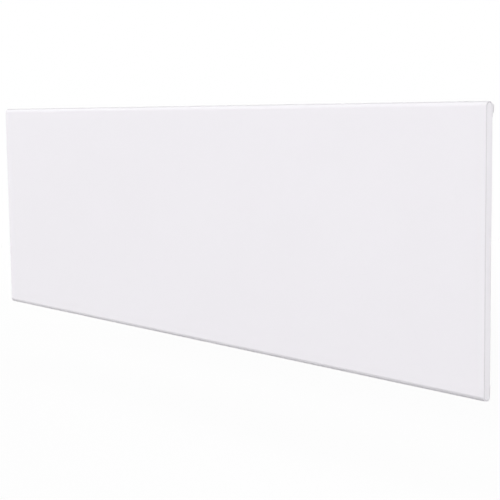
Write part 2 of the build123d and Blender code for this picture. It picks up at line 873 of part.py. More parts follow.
# Push buttons: a crowned cap with a flange under the surface and a stem towards its switch
button_names = [
    "button_set",
    "button_minus",
    "button_plus",
    "button_program",
    "button_timer",
    "button_power",
]
for button_name, (button_x, button_y) in zip(button_names, button_places):
    with BuildPart() as button:
        with BuildSketch(Plane.XY.offset(casing_top - box_wall)):
            with Locations((button_x, button_y)):
                Circle(button_hole_radius - button_gap)
        extrude(amount=box_wall + button_proud)
        fillet(button.faces().sort_by(Axis.Z)[-1].edges(), button_edge)
        with BuildSketch(Plane.XY.offset(casing_top - box_wall)):
            with Locations((button_x, button_y)):
                Circle(button_flange_radius)
        extrude(amount=-button_flange)
        with BuildSketch(Plane.XY.offset(casing_top - box_wall - button_flange)):
            with Locations((button_x, button_y)):
                Circle(button_stem_radius)
        extrude(amount=-button_stem)
    button.part.label = button_name
    export_step(button.part, f"parts/{button_name}.step")

# Indicator light pipes: six clear rods from the chips to the surface
with BuildPart() as indicator_light_pipes:
    with BuildSketch(Plane.XY.offset(board_top + chip_height)):
        with Locations(*light_places):
            Circle(light_radius)
    extrude(amount=board_drop - chip_height)
    with BuildSketch(Plane.XY.offset(casing_top - box_wall)):
        with Locations(*light_places):
            Circle(light_flange_radius)
    extrude(amount=-light_flange)
indicator_light_pipes.part.label = "indicator_light_pipes"
export_step(indicator_light_pipes.part, "parts/indicator_light_pipes.step")

# Light chips under the pipes
with BuildPart() as indicator_chips:
    with BuildSketch(Plane.XY.offset(board_top)):
        with Locations(*light_places):
            Rectangle(chip_size, chip_size)
    extrude(amount=chip_height)
indicator_chips.part.label = "indicator_chips"
export_step(indicator_chips.part, "parts/indicator_chips.step")

# Control board: hangs on four pillars under the control surface
ribbon_y = box_rear_inner_y - ribbon_front
ribbon_x = display_x
board_front_y = panel_rear_y + board_front_margin
with BuildPart() as control_board:
    with BuildSketch(Plane.XY.offset(board_top)):
        with BuildLine():
            Polyline(
                (box_inner_left + board_margin, board_front_y),
                (side_x(board_front_y, box_wall + board_margin), board_front_y),
                (side_x(notch_front_y, box_wall + 2 * board_margin), notch_front_y - box_wall),
                (notch_x - box_wall - 2 * board_margin, box_rear_inner_y - board_rear_margin),
                (box_inner_left + board_margin, box_rear_inner_y - board_rear_margin),
                close=True,
            )
        make_face()
        with Locations(*pillar_places):
            Circle(board_screw_radius + rivet_fit, mode=Mode.SUBTRACT)
    extrude(amount=-board_sheet)
    with BuildSketch(Plane.XY.offset(board_top - board_sheet)):
        with Locations((ribbon_x, ribbon_y)):
            Rectangle(ribbon_width + 2 * ribbon_thickness, connector_depth)
    extrude(amount=-connector_height)
control_board.part.label = "control_board"
export_step(control_board.part, "parts/control_board.step")

# Tact switches: one under each push button
with BuildPart() as tact_switches:
    with BuildSketch(Plane.XY.offset(board_top)):
        with Locations(*button_places):
            Rectangle(tact_size, tact_size)
    extrude(amount=tact_body)
    with BuildSketch(Plane.XY.offset(board_top + tact_body)):
        with Locations(*button_places):
            Circle(tact_plunger_radius)
    extrude(amount=tact_plunger)
tact_switches.part.label = "tact_switches"
export_step(tact_switches.part, "parts/tact_switches.step")

# Board screws: four pan heads that hold the control board to its pillars
with BuildPart() as board_screws:
    with BuildSketch(Plane.XY.offset(board_top - board_sheet)):
        with Locations(*pillar_places):
            Circle(board_screw_radius)
    extrude(amount=board_screw_length)
    with BuildSketch(Plane.XY.offset(board_top - board_sheet)):
        with Locations(*pillar_places):
            Circle(board_screw_head_radius)
    extrude(amount=-board_screw_head)
board_screws.part.label = "board_screws"
export_step(board_screws.part, "parts/board_screws.step")

# Power board: stands on pillars of the rear wall, with its ribbon and lead connectors
power_board_rear_y = box_rear_inner_y - power_pillar
power_board_front_y = power_board_rear_y - board_sheet
lead_x = box_left + power_board_left + 2 * lead_bend
with BuildPart() as power_board:
    with BuildSketch(Plane.XZ.offset(-power_board_rear_y)):
        with Locations((power_middle_x, power_middle_z)):
            Rectangle(power_board_length, power_board_height)
    extrude(amount=board_sheet)
    connector_reach = power_board_front_y - ribbon_y + connector_depth / 2
    with BuildSketch(Plane.XZ.offset(-power_board_front_y)):
        with Locations((ribbon_x, power_board_top - connector_height)):
            Rectangle(ribbon_width + 2 * ribbon_thickness, connector_height)
    extrude(amount=connector_reach)
    lead_block_reach = power_board_front_y - element_y + lead_pitch
    with BuildSketch(Plane.XZ.offset(-power_board_front_y)):
        with Locations((lead_x, power_board_top - power_board_height + connector_height)):
            Rectangle(2 * connector_depth, 2 * connector_height)
    extrude(amount=lead_block_reach)
power_board.part.label = "power_board"
export_step(power_board.part, "parts/power_board.step")

# Relay and transformer on the power board
large_parts_x = box_left + power_board_left + transformer_size[0] / 2 + power_pillar_margin / 2
relay_middle = (large_parts_x, power_middle_z + relay_size[1] + power_pillar_margin)
transformer_middle = (large_parts_x, power_middle_z - transformer_size[1] / 2)
with BuildPart() as relay:
    with BuildSketch(Plane.XZ.offset(-power_board_front_y)):
        with Locations(relay_middle):
            RectangleRounded(relay_size[0], relay_size[1], bezel_round)
    extrude(amount=relay_size[2])
relay.part.label = "relay"
export_step(relay.part, "parts/relay.step")

with BuildPart() as transformer:
    with BuildSketch(Plane.XZ.offset(-power_board_front_y)):
        with Locations(transformer_middle):
            Rectangle(transformer_size[0] * transformer_core_share, transformer_size[1])
    extrude(amount=transformer_size[2])
    coil_height = transformer_size[1] * transformer_core_share
    with BuildSketch(Plane.XZ.offset(-power_board_front_y)):
        with Locations(transformer_middle):
            RectangleRounded(transformer_size[0], coil_height, box_corner)
    extrude(amount=transformer_size[2] * transformer_core_share)
transformer.part.label = "transformer"
export_step(transformer.part, "parts/transformer.step")

# Ribbon cable: hangs straight between the two connectors
with BuildPart() as ribbon_cable:
    with BuildSketch(Plane.XY.offset(power_board_top - connector_height / 2)):
        with Locations((ribbon_x, ribbon_y)):
            Rectangle(ribbon_width, ribbon_thickness)
    extrude(amount=board_top - board_sheet - connector_height - power_board_top + connector_height / 2)
ribbon_cable.part.label = "ribbon_cable"
export_step(ribbon_cable.part, "parts/ribbon_cable.step")

# Switch body: bezel in the pocket, box behind the wall, a well for the rocker
switch_back_x = pocket_wall_x - switch_depth
pivot_x = pocket_wall_x - rocker_pivot_depth
with BuildPart() as switch_body:
    with BuildSketch(Plane.YZ.offset(pocket_wall_x)):
        with Locations((switch_y, switch_z)):
            RectangleRounded(bezel_width, bezel_height, bezel_round)
    extrude(amount=bezel_proud)
    fillet(switch_body.faces().sort_by(Axis.X)[-1].edges(), bezel_edge)
    with BuildSketch(Plane.YZ.offset(pocket_wall_x)):
        with Locations((switch_y, switch_z)):
            Rectangle(switch_width, switch_height)
    extrude(amount=-switch_depth)
    with BuildSketch(Plane.YZ.offset(pocket_wall_x - switch_mouth_depth)):
        with Locations((switch_y, switch_z)):
            Rectangle(switch_mouth_width, switch_mouth_height)
    extrude(amount=switch_mouth_depth + bezel_proud, mode=Mode.SUBTRACT)
    with BuildSketch(Plane.XZ.offset(-switch_y - switch_width / 2)):
        with Locations((pivot_x, switch_z)):
            Circle(rocker_pin_radius + rocker_pin_fit)
    extrude(amount=switch_width, mode=Mode.SUBTRACT)
switch_body.part.label = "switch_body"
export_step(switch_body.part, "parts/switch_body.step")

# Rocker: a shallow V face with round ends about its pivot, at rest tilted to off
rocker_plane = Plane(
    origin=(pivot_x, switch_y - rocker_width / 2, switch_z),
    x_dir=(math.cos(rocker_tilt), 0, math.sin(rocker_tilt)),
    z_dir=(0, -1, 0),
)
rocker_slope = math.tan(rocker_tilt)
rocker_half = (
    math.sqrt(rocker_end_radius**2 * (1 + rocker_slope**2) - rocker_apex**2) - rocker_apex * rocker_slope
) / (1 + rocker_slope**2)
rocker_corner_x = rocker_apex + rocker_half * rocker_slope
rocker_back_half = math.sqrt(rocker_end_radius**2 - rocker_back**2)
with BuildPart() as switch_rocker:
    with BuildSketch(rocker_plane):
        with BuildLine():
            Polyline(
                (rocker_corner_x, rocker_half), (rocker_apex, 0), (rocker_corner_x, -rocker_half)
            )
            ThreePointArc(
                (rocker_corner_x, -rocker_half),
                (rocker_apex / 2, -math.sqrt(rocker_end_radius**2 - rocker_apex**2 / 4)),
                (-rocker_back, -rocker_back_half),
            )
            Line((-rocker_back, -rocker_back_half), (-rocker_back, rocker_back_half))
            ThreePointArc(
                (-rocker_back, rocker_back_half),
                (rocker_apex / 2, math.sqrt(rocker_end_radius**2 - rocker_apex**2 / 4)),
                (rocker_corner_x, rocker_half),
            )
        make_face()
    extrude(amount=-rocker_width)
    with BuildSketch(Plane.XZ.offset(-switch_y - switch_width / 2 + rocker_pin_fit)):
        with Locations((pivot_x, switch_z)):
            Circle(rocker_pin_radius)
    extrude(amount=switch_width - 2 * rocker_pin_fit)
switch_rocker.part.label = "switch_rocker"
export_step(switch_rocker.part, "parts/switch_rocker.step")

# Switch terminals: four blades behind the switch
with BuildPart() as switch_terminals:
    with BuildSketch(Plane.YZ.offset(switch_back_x)):
        with Locations((switch_y, switch_z)):
            with GridLocations(terminal_width + terminal_sheet, terminal_pitch, 2, 2):
                Rectangle(terminal_width, terminal_sheet)
    extrude(amount=-terminal_length)
switch_terminals.part.label = "switch_terminals"
export_step(switch_terminals.part, "parts/switch_terminals.step")

# Mains terminal block on the rear wall, near the gland
block_z = casing_bottom + box_wall + terminal_block_rise
with BuildPart() as terminal_block:
    with BuildSketch(Plane.XZ.offset(-box_rear_inner_y)):
        with Locations((gland_x, block_z)):
            Rectangle(terminal_block_size[0], terminal_block_size[1])
    extrude(amount=terminal_block_size[2])
    fillet(terminal_block.edges().filter_by(Axis.Z), bezel_round)
    with BuildSketch(Plane.XZ.offset(-box_rear_inner_y + terminal_block_size[2])):
        with Locations((gland_x, block_z)):
            with GridLocations(terminal_block_size[0] / 3, 0, 3, 1):
                Circle(block_screw_radius)
    extrude(amount=-block_screw_depth, mode=Mode.SUBTRACT)
terminal_block.part.label = "terminal_block"
export_step(terminal_block.part, "parts/terminal_block.step")

# Cord gland: collar under the box, nut inside, tapered tail below the collar's rim
with BuildPart() as cord_gland:
    with BuildSketch(Plane.XZ.offset(-gland_y)):
        with BuildLine():
            Polyline(
                (gland_x + gland_bore_radius, casing_bottom - gland_collar),
                (gland_x + gland_collar_radius, casing_bottom - gland_collar),
                (gland_x + gland_collar_radius, casing_bottom),
                (gland_x + gland_radius, casing_bottom),
                (gland_x + gland_radius, casing_bottom + box_wall),
                (gland_x + gland_nut_radius, casing_bottom + box_wall),
                (gland_x + gland_nut_radius, casing_bottom + box_wall + gland_nut),
                (gland_x + gland_radius, casing_bottom + box_wall + gland_nut),
                (gland_x + gland_radius, casing_bottom + box_wall + gland_nut + gland_tail),
                (gland_x + gland_bore_radius, casing_bottom + box_wall + gland_nut + gland_tail),
                close=True,
            )
        make_face()
    revolve(axis=Axis((gland_x, gland_y, 0), (0, 0, 1)))
cord_gland.part.label = "cord_gland"
export_step(cord_gland.part, "parts/cord_gland.step")

# Heating element: a hub with four long fins, cut through at even gaps
element_length = element_right - element_left
fin_gap_count = int((element_length - 2 * element_end_bare) / element_gap_pitch)
with BuildPart() as element_fins:
    with BuildSketch(Plane.YZ.offset(element_left + element_end_bare)):
        with Locations((element_y, element_z)):
            Rectangle(2 * element_fin_reach, element_fin, rotation=45)
            Rectangle(2 * element_fin_reach, element_fin, rotation=-45)
            Circle(element_hub_radius)
            Circle(element_tube_radius + element_fit, mode=Mode.SUBTRACT)
    extrude(amount=element_length - 2 * element_end_bare)
    with BuildSketch(Plane.XZ.offset(-element_y)):
        with Locations(((element_left + element_right) / 2, element_z)):
            with GridLocations(element_gap_pitch, 2 * element_fin_reach, fin_gap_count, 2):
                Rectangle(element_gap, 2 * (element_fin_reach - element_hub_radius))
    extrude(amount=element_fin_reach, both=True, mode=Mode.SUBTRACT)
element_fins.part.label = "element_fins"
export_step(element_fins.part, "parts/element_fins.step")

# Element tube: the sheathed rod through the fins
with BuildPart() as element_tube:
    with BuildSketch(Plane.YZ.offset(element_left)):
        with Locations((element_y, element_z)):
            Circle(element_tube_radius)
    extrude(amount=element_length)
element_tube.part.label = "element_tube"
export_step(element_tube.part, "parts/element_tube.step")

# Insulators: a collared ceramic bush near each end of the tube
insulator_places = (
    element_left + element_bracket_margin,
    element_right - element_bracket_margin,
)
with BuildPart() as element_insulators:
    for bush_x in insulator_places:
        with BuildSketch(Plane.YZ.offset(bush_x - insulator_length / 2)):
            with Locations((element_y, element_z)):
                Circle(insulator_radius)
                Circle(element_tube_radius + element_fit, mode=Mode.SUBTRACT)
        extrude(amount=insulator_length)
        with BuildSketch(Plane.YZ.offset(bush_x + bracket_sheet / 2)):
            with Locations((element_y, element_z)):
                Circle(insulator_collar_radius)
                Circle(element_tube_radius + element_fit, mode=Mode.SUBTRACT)
        extrude(amount=insulator_collar)
element_insulators.part.label = "element_insulators"
export_step(element_insulators.part, "parts/element_insulators.step")

# Element brackets: an angle on the rear wall holds each bush
with BuildPart() as element_brackets:
    for bush_x in insulator_places:
        arm_front_y = element_y - insulator_radius - 2 * bracket_sheet
        with BuildSketch(Plane.XY.offset(element_z - element_bracket_height / 2)):
            with BuildLine():
                FilletPolyline(
                    (bush_x - bracket_sheet / 2, arm_front_y),
                    (bush_x - bracket_sheet / 2, casing_inner_y),
                    (bush_x + bracket_base, casing_inner_y),
                    radius=2 * bracket_sheet,
                )
                offset(amount=bracket_sheet, side=Side.RIGHT)
            make_face()
        extrude(amount=element_bracket_height)
        with BuildSketch(Plane.YZ.offset(bush_x)):
            with Locations((element_y, element_z)):
                Circle(insulator_radius + insulator_fit)
        extrude(amount=bracket_sheet, both=True, mode=Mode.SUBTRACT)
element_brackets.part.label = "element_brackets"
export_step(element_brackets.part, "parts/element_brackets.step")

# Front heat shield: a tray of thin sheet that keeps the panel cool, riveted with the casing
shield_back_y = panel_rear_y + casing_sheet
shield_face_y = shield_back_y + shield_standoff
shield_rear_y = shield_face_y + shield_sheet
shield_edge_z = casing_top - flange_bend - casing_sheet
shield_left = -side_front_x + shield_left_margin
shield_right = box_left - shield_right_margin
with BuildPart() as front_heat_shield:
    with BuildSketch(Plane.YZ.offset(shield_left)):
        with BuildLine():
            FilletPolyline(
                (shield_back_y, shield_edge_z - casing_bend),
                (shield_back_y, shield_edge_z - casing_flange),
                (shield_face_y, shield_edge_z - casing_flange - shield_slope),
                (shield_face_y, -shield_edge_z + casing_flange + shield_slope),
                (shield_back_y, -shield_edge_z + casing_flange),
                (shield_back_y, -shield_edge_z + casing_bend),
                radius=2 * shield_sheet,
            )
            offset(amount=shield_sheet, side=Side.LEFT)
        make_face()
    extrude(amount=shield_right - shield_left)
    with BuildSketch(Plane.XZ.offset(-shield_back_y)):
        with Locations(*rivet_places):
            Circle(rivet_radius + rivet_fit)
    extrude(amount=-2 * shield_sheet, mode=Mode.SUBTRACT)
front_heat_shield.part.label = "front_heat_shield"
export_step(front_heat_shield.part, "parts/front_heat_shield.step")

# Thermal cut-out: a disc body on an eared base, on the shield above the element
cutout_x = box_left - cutout_left_of_box
cutout_z = element_z + cutout_rise
with BuildPart() as thermal_cutout:
    with BuildSketch(Plane.XZ.offset(-shield_rear_y)):
        with Locations((cutout_x, cutout_z)):
            SlotOverall(cutout_ear_length, cutout_ear_width)
    extrude(amount=-cutout_ear)
    with BuildSketch(Plane.XZ.offset(-shield_rear_y)):
        with Locations((cutout_x, cutout_z)):
            Circle(cutout_radius)
    extrude(amount=-cutout_body)
thermal_cutout.part.label = "thermal_cutout"
export_step(thermal_cutout.part, "parts/thermal_cutout.step")

# Air temperature sensor: a bulb on the housing's bottom
sensor_x = box_left + sensor_left
with BuildPart() as temperature_sensor:
    with BuildSketch(Plane.XY.offset(casing_bottom + box_wall)):
        with Locations((sensor_x, gland_y)):
            Circle(sensor_base_radius)
    extrude(amount=sensor_base)
    with BuildSketch(Plane.XY.offset(casing_bottom + box_wall + sensor_base)):
        with Locations((sensor_x, gland_y)):
            Circle(sensor_radius)
    extrude(amount=sensor_length)
    fillet(temperature_sensor.faces().sort_by(Axis.Z)[-1].edges(), sensor_round)
temperature_sensor.part.label = "temperature_sensor"
export_step(temperature_sensor.part, "parts/temperature_sensor.step")

# Grommet: lines the hole that the element's leads pass
with BuildPart() as wall_grommet:
    with BuildSketch(Plane.YZ.offset(box_left)):
        with Locations((element_y, element_z)):
            Circle(grommet_radius)
            Circle(grommet_bore, mode=Mode.SUBTRACT)
    extrude(amount=box_wall)
    with BuildSketch(Plane.YZ.offset(box_inner_left)):
        with Locations((element_y, element_z)):
            Circle(grommet_flange)
            Circle(grommet_bore, mode=Mode.SUBTRACT)
    extrude(amount=grommet_flange_thickness)
wall_grommet.part.label = "wall_grommet"
export_step(wall_grommet.part, "parts/wall_grommet.step")

# Element leads: two wires from the tube's end through the grommet up to the power board
lead_top_z = power_board_top - power_board_height
with BuildPart() as element_leads:
    for lead_side in (-1, 1):
        lead_y = element_y + lead_side * lead_pitch / 2
        with BuildLine() as lead_path:
            FilletPolyline(
                (element_right, lead_y, element_z),
                (lead_x + lead_side * lead_pitch / 2, lead_y, element_z),
                (lead_x + lead_side * lead_pitch / 2, lead_y, lead_top_z),
                radius=lead_bend,
            )
        with BuildSketch(Plane.YZ.offset(element_right)):
            with Locations((lead_y, element_z)):
                Circle(lead_radius)
        sweep(path=lead_path.wires()[0])
element_leads.part.label = "element_leads"
export_step(element_leads.part, "parts/element_leads.step")

# Switch leads: two wires from the lower blades down to the terminal block
lead_start_x = switch_back_x - terminal_length
lead_start_z = switch_z - terminal_pitch / 2
block_top_z = block_z + terminal_block_size[1] / 2
block_lead_y = box_rear_inner_y - terminal_block_size[2] / 2
with BuildPart() as switch_leads:
    for lead_side in (-1, 1):
        lead_y = switch_y + lead_side * (terminal_width + terminal_sheet) / 2
        drop_x = lead_start_x - lead_bend - (1 + lead_side) * lead_pitch / 2
        low_z = block_top_z + 4 * lead_bend + lead_side * lead_pitch / 2
        with BuildLine() as lead_path:
            FilletPolyline(
                (lead_start_x, lead_y, lead_start_z),
                (drop_x, lead_y, lead_start_z),
                (drop_x, lead_y, low_z),
                (gland_x + lead_side * lead_pitch, block_lead_y, low_z - 2 * lead_bend),
                (gland_x + lead_side * lead_pitch, block_lead_y, block_top_z),
                radius=switch_lead_bend,
            )
        with BuildSketch(Plane.YZ.offset(lead_start_x)):
            with Locations((lead_y, lead_start_z)):
                Circle(lead_radius)
        sweep(path=lead_path.wires()[0])
switch_leads.part.label = "switch_leads"
export_step(switch_leads.part, "parts/switch_leads.step")

# Panel rivets: through the panel's return, the casing's flange and the shield
rivet_front_y = panel_rear_y - panel_skin
rivet_grip = panel_skin + casing_sheet + shield_sheet
with BuildPart() as panel_rivets:
    with BuildSketch(Plane.XZ.offset(-rivet_front_y)):
        with Locations(*rivet_places):
            Circle(rivet_radius)
    extrude(amount=-rivet_grip)
    with BuildSketch(Plane.XZ.offset(-rivet_front_y)):
        with Locations(*rivet_places):
            Circle(rivet_head_radius)
    extrude(amount=rivet_head)
    with BuildSketch(Plane.XZ.offset(-rivet_front_y - rivet_grip)):
        with Locations(*rivet_places):
            Circle(rivet_head_radius)
    extrude(amount=-rivet_head)
panel_rivets.part.label = "panel_rivets"
export_step(panel_rivets.part, "parts/panel_rivets.step")

# Housing screws: three pan heads behind the casing that hold the housing's tongue
with BuildPart() as housing_screws:
    with BuildSketch(Plane.XZ.offset(-casing_rear_y)):
        with Locations(*screw_places):
            Circle(screw_head_radius)
    extrude(amount=-screw_head)
    fillet(housing_screws.faces().group_by(Axis.Y)[-1].edges(), screw_head / 2)
    with BuildSketch(Plane.XZ.offset(-casing_rear_y)):
        with Locations(*screw_places):
            Circle(screw_radius)
    extrude(amount=screw_length)
housing_screws.part.label = "housing_screws"
export_step(housing_screws.part, "parts/housing_screws.step")

# Bracket uprights: angles on the wall whose webs end in two hooks through the casing's slots
hook_back_y = casing_inner_y - hook_slack
hook_tip_y = hook_back_y - hook_reach
web_front_y = casing_rear_y + hook_slack
neck_top_z = hook_spacing / 2 - hook_slack
hook_base_z = neck_top_z - hook_neck
for upright_name, upright_side in (("bracket_upright_left", -1), ("bracket_upright_right", 1)):
    web_x = upright_side * hook_pitch / 2
    with BuildPart() as bracket_upright:
        with BuildSketch(Plane.YZ.offset(web_x - upright_sheet / 2)):
            with BuildLine():
                Polyline(
                    (0, -upright_height / 2),
                    (web_front_y, -upright_height / 2),
                    (web_front_y, hook_base_z - hook_spacing),
                    (hook_tip_y, hook_base_z - hook_spacing),
                    (hook_tip_y, neck_top_z + hook_rise - hook_spacing),
                    (hook_back_y, neck_top_z + hook_rise - hook_spacing),
                    (hook_back_y, neck_top_z - hook_spacing),
                    (web_front_y, neck_top_z - hook_spacing),
                    (web_front_y, hook_base_z),
                    (hook_tip_y, hook_base_z),
                    (hook_tip_y, neck_top_z + hook_rise),
                    (hook_back_y, neck_top_z + hook_rise),
                    (hook_back_y, neck_top_z),
                    (web_front_y, neck_top_z),
                    (web_front_y, upright_height / 2),
                    (0, upright_height / 2),
                    close=True,
                )
            make_face()
        extrude(amount=upright_sheet)
        with BuildSketch(Plane.XZ):
            with Locations((web_x - upright_side * (upright_width - upright_sheet) / 2, 0)):
                Rectangle(upright_width, upright_height)
        extrude(amount=upright_sheet)
    bracket_upright.part.label = upright_name
    export_step(bracket_upright.part, f"parts/{upright_name}.step")

# Bracket rails: flat strips with turned edges, flush between the uprights, with the wall screw holes
rail_length = hook_pitch - 2 * upright_width + upright_sheet
for rail_name, rail_side in (("bracket_rail_upper", 1), ("bracket_rail_lower", -1)):
    rail_z = rail_side * bracket_hole_spacing_y / 2
    with BuildPart() as bracket_rail:
        with BuildSketch(Plane.XZ):
            with Locations((0, rail_z)):
                Rectangle(rail_length, rail_height)
                with GridLocations(bracket_hole_spacing_x, 0, 2, 1):
                    Circle(bracket_hole_radius, mode=Mode.SUBTRACT)
        extrude(amount=rail_sheet)
        edge_z = rail_z + rail_side * (rail_height - rail_sheet) / 2
        with BuildSketch(Plane.XZ):
            with Locations((0, edge_z)):
                Rectangle(rail_length, rail_sheet)
        extrude(amount=rail_sheet + rail_stiffener)
    bracket_rail.part.label = rail_name
    export_step(bracket_rail.part, f"parts/{rail_name}.step")

# Locking tab: a bent strip from the lower rail's face to the casing's rear wall
rail_foot_z = -(bracket_hole_spacing_y + rail_height) / 2
tab_shelf_z = rail_foot_z + rail_sheet + upright_sheet + tab_gap
with BuildPart() as lock_tab:
    with BuildSketch(Plane.YZ.offset(-lock_tab_width / 2)):
        with BuildLine():
            FilletPolyline(
                (-rail_sheet - upright_sheet, tab_shelf_z + lock_tab_height),
                (-rail_sheet - upright_sheet, tab_shelf_z),
                (web_front_y, tab_shelf_z),
                (web_front_y, lock_place[1] - lock_tab_height / 2),
                radius=tab_bend,
            )
            offset(amount=upright_sheet, side=Side.LEFT)
        make_face()
    extrude(amount=lock_tab_width)
    with BuildSketch(Plane.XZ.offset(-web_front_y)):
        with Locations(lock_place):
            Circle(lock_screw_radius + screw_hole_fit)
    extrude(amount=-upright_sheet, mode=Mode.SUBTRACT)
lock_tab.part.label = "lock_tab"
export_step(lock_tab.part, "parts/lock_tab.step")

# Locking screw: through the tab into the casing
head_y = web_front_y + upright_sheet
with BuildPart() as lock_screw:
    with BuildSketch(Plane.XZ.offset(-head_y)):
        with Locations(lock_place):
            Circle(lock_screw_head_radius)
    extrude(amount=-lock_screw_head)
    with BuildSketch(Plane.XZ.offset(-head_y)):
        with Locations(lock_place):
            Circle(lock_screw_radius)
    extrude(amount=head_y - casing_inner_y + 2 * casing_sheet)
lock_screw.part.label = "lock_screw"
export_step(lock_screw.part, "parts/lock_screw.step")

# Rear bumpers: rubber studs in the casing's lower corners that rest on the wall
with BuildPart() as rear_bumpers:
    with BuildSketch(Plane.XZ.offset(-casing_rear_y)):
        with Locations(*bumper_places):
            Circle(bumper_radius)
    extrude(amount=casing_rear_y, taper=bumper_taper)
    with BuildSketch(Plane.XZ.offset(-casing_rear_y)):
        with Locations(*bumper_places):
            Circle(bumper_neck_radius)
    extrude(amount=casing_sheet)
    with BuildSketch(Plane.XZ.offset(-casing_inner_y)):
        with Locations(*bumper_places):
            Circle(bumper_head_radius)
    extrude(amount=bumper_head)
rear_bumpers.part.label = "rear_bumpers"
export_step(rear_bumpers.part, "parts/rear_bumpers.step")
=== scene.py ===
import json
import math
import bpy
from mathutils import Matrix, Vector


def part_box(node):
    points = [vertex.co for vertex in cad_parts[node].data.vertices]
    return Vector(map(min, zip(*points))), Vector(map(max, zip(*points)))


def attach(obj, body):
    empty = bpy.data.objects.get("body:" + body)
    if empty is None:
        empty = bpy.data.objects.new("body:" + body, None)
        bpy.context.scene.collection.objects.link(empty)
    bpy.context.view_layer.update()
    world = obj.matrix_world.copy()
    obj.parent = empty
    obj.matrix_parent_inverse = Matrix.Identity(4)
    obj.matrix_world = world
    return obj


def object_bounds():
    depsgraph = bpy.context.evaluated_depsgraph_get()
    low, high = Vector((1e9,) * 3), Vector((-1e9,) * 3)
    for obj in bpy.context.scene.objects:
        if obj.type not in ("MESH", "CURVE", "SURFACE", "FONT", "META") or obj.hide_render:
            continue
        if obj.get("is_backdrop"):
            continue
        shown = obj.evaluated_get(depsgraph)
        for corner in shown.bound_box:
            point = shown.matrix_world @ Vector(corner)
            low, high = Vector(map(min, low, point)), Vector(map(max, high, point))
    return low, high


bl_info = {
    "name": "Convector Panel Heater",
    "version": (1, 0, 0),
    "blender": (4, 5, 0),
    "location": "3D View > Sidebar > Heater",
    "description": "Finishes, printed signs and lit display of a wall-hung convector panel heater",
    "category": "Object",
}

import bmesh
import bpy
from mathutils import Matrix, Quaternion, Vector

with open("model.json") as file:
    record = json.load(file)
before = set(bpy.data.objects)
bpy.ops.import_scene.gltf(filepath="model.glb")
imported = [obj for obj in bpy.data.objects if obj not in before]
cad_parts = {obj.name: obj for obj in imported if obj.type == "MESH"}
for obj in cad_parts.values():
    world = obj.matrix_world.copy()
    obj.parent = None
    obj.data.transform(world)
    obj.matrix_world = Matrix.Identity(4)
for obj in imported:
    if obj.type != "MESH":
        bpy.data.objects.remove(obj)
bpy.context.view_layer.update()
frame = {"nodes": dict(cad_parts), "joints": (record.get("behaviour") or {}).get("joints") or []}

MILLIMETRE = 0.001
WHITE = (1.0, 1.0, 1.0, 1.0)
COLOUR = {"subtype": "COLOR", "size": 4, "min": 0.0, "max": 1.0}

# Painted dark shade in the pry slot in the box's slanted side: head and foot below the box's top, depth
# behind the panel
PRY_SLOT_HEAD = 1.8 * MILLIMETRE
PRY_SLOT_FOOT = 7.7 * MILLIMETRE
PRY_SLOT_DEPTH = 1.15 * MILLIMETRE

# Which ways the faces with painted shade face: the rim round an end cap and the lid's inner side
CAP_RIM_NORMALS = {"X": (-0.9, 0.9)}
LID_INNER_NORMALS = {"Z": (-1.1, -0.5)}

# How far behind the panel the painted dark shade round an end cap's snap reaches
SNAP_SHADE_DEPTH = 1.9 * MILLIMETRE

# Share of the painted shade on the panel's bends at each height of the sheet's normal
BEND_SHADES = ((-0.8, 0.0), (-0.5, 0.2), (-0.2, 0.35), (-0.02, 0.0), (0.75, 0.0), (0.97, 0.6))

# How far outwards the painted dark shade inside the sheets reaches
SHEET_SHADE_LIMIT = -2 * MILLIMETRE
GRILLE_SHADE_LIMIT = 20 * MILLIMETRE

# Specular level of the coat and plastics, low enough that they don't clip to white
PALE_GLOSS = 0.28

# Darkest and lightest share of their colour that the coat and plastics drift between
PALE_DRIFT = (0.985, 1.01)

# A printed stroke is thicker by this share for each vertex printed before it, so that strokes may cross
BAR_RISE = 0.004
RING_RISE = 0.001

RING_STEPS = 32
HALF_RING_STEPS = 20
DOT_SEGMENTS = 24
RIM_STEPS = 48
FLOOR_CELLS = 8
SENSOR_WIDTH = 36.0

# Which of the six lights is off, counted from 0, and its size as a share of a lit one's
UNLIT_LIGHT = 4
UNLIT_SIZE = 0.8

# The digits that are lit, and the segments that make each
DISPLAY_READING = "21"
DIGIT_SEGMENTS = {"1": "bc", "2": "abged"}

# Each segment's middle, in segment lengths, and whether it stands upright
SEGMENT_PLACES = {
    "a": (0, 1, False),
    "b": (0.5, 0.5, True),
    "c": (0.5, -0.5, True),
    "d": (0, -1, False),
    "e": (-0.5, -0.5, True),
    "g": (0, 0, False),
}

# Where each broad lamp shines from
LAMP_SIDES = {
    "front": (0.8, -3.0, 0.4),
    "side": (3.0, 1.3, 0.5),
    "left": (-3.0, 0.0, 0.3),
    "back": (-2.0, 3.0, 0.3),
}


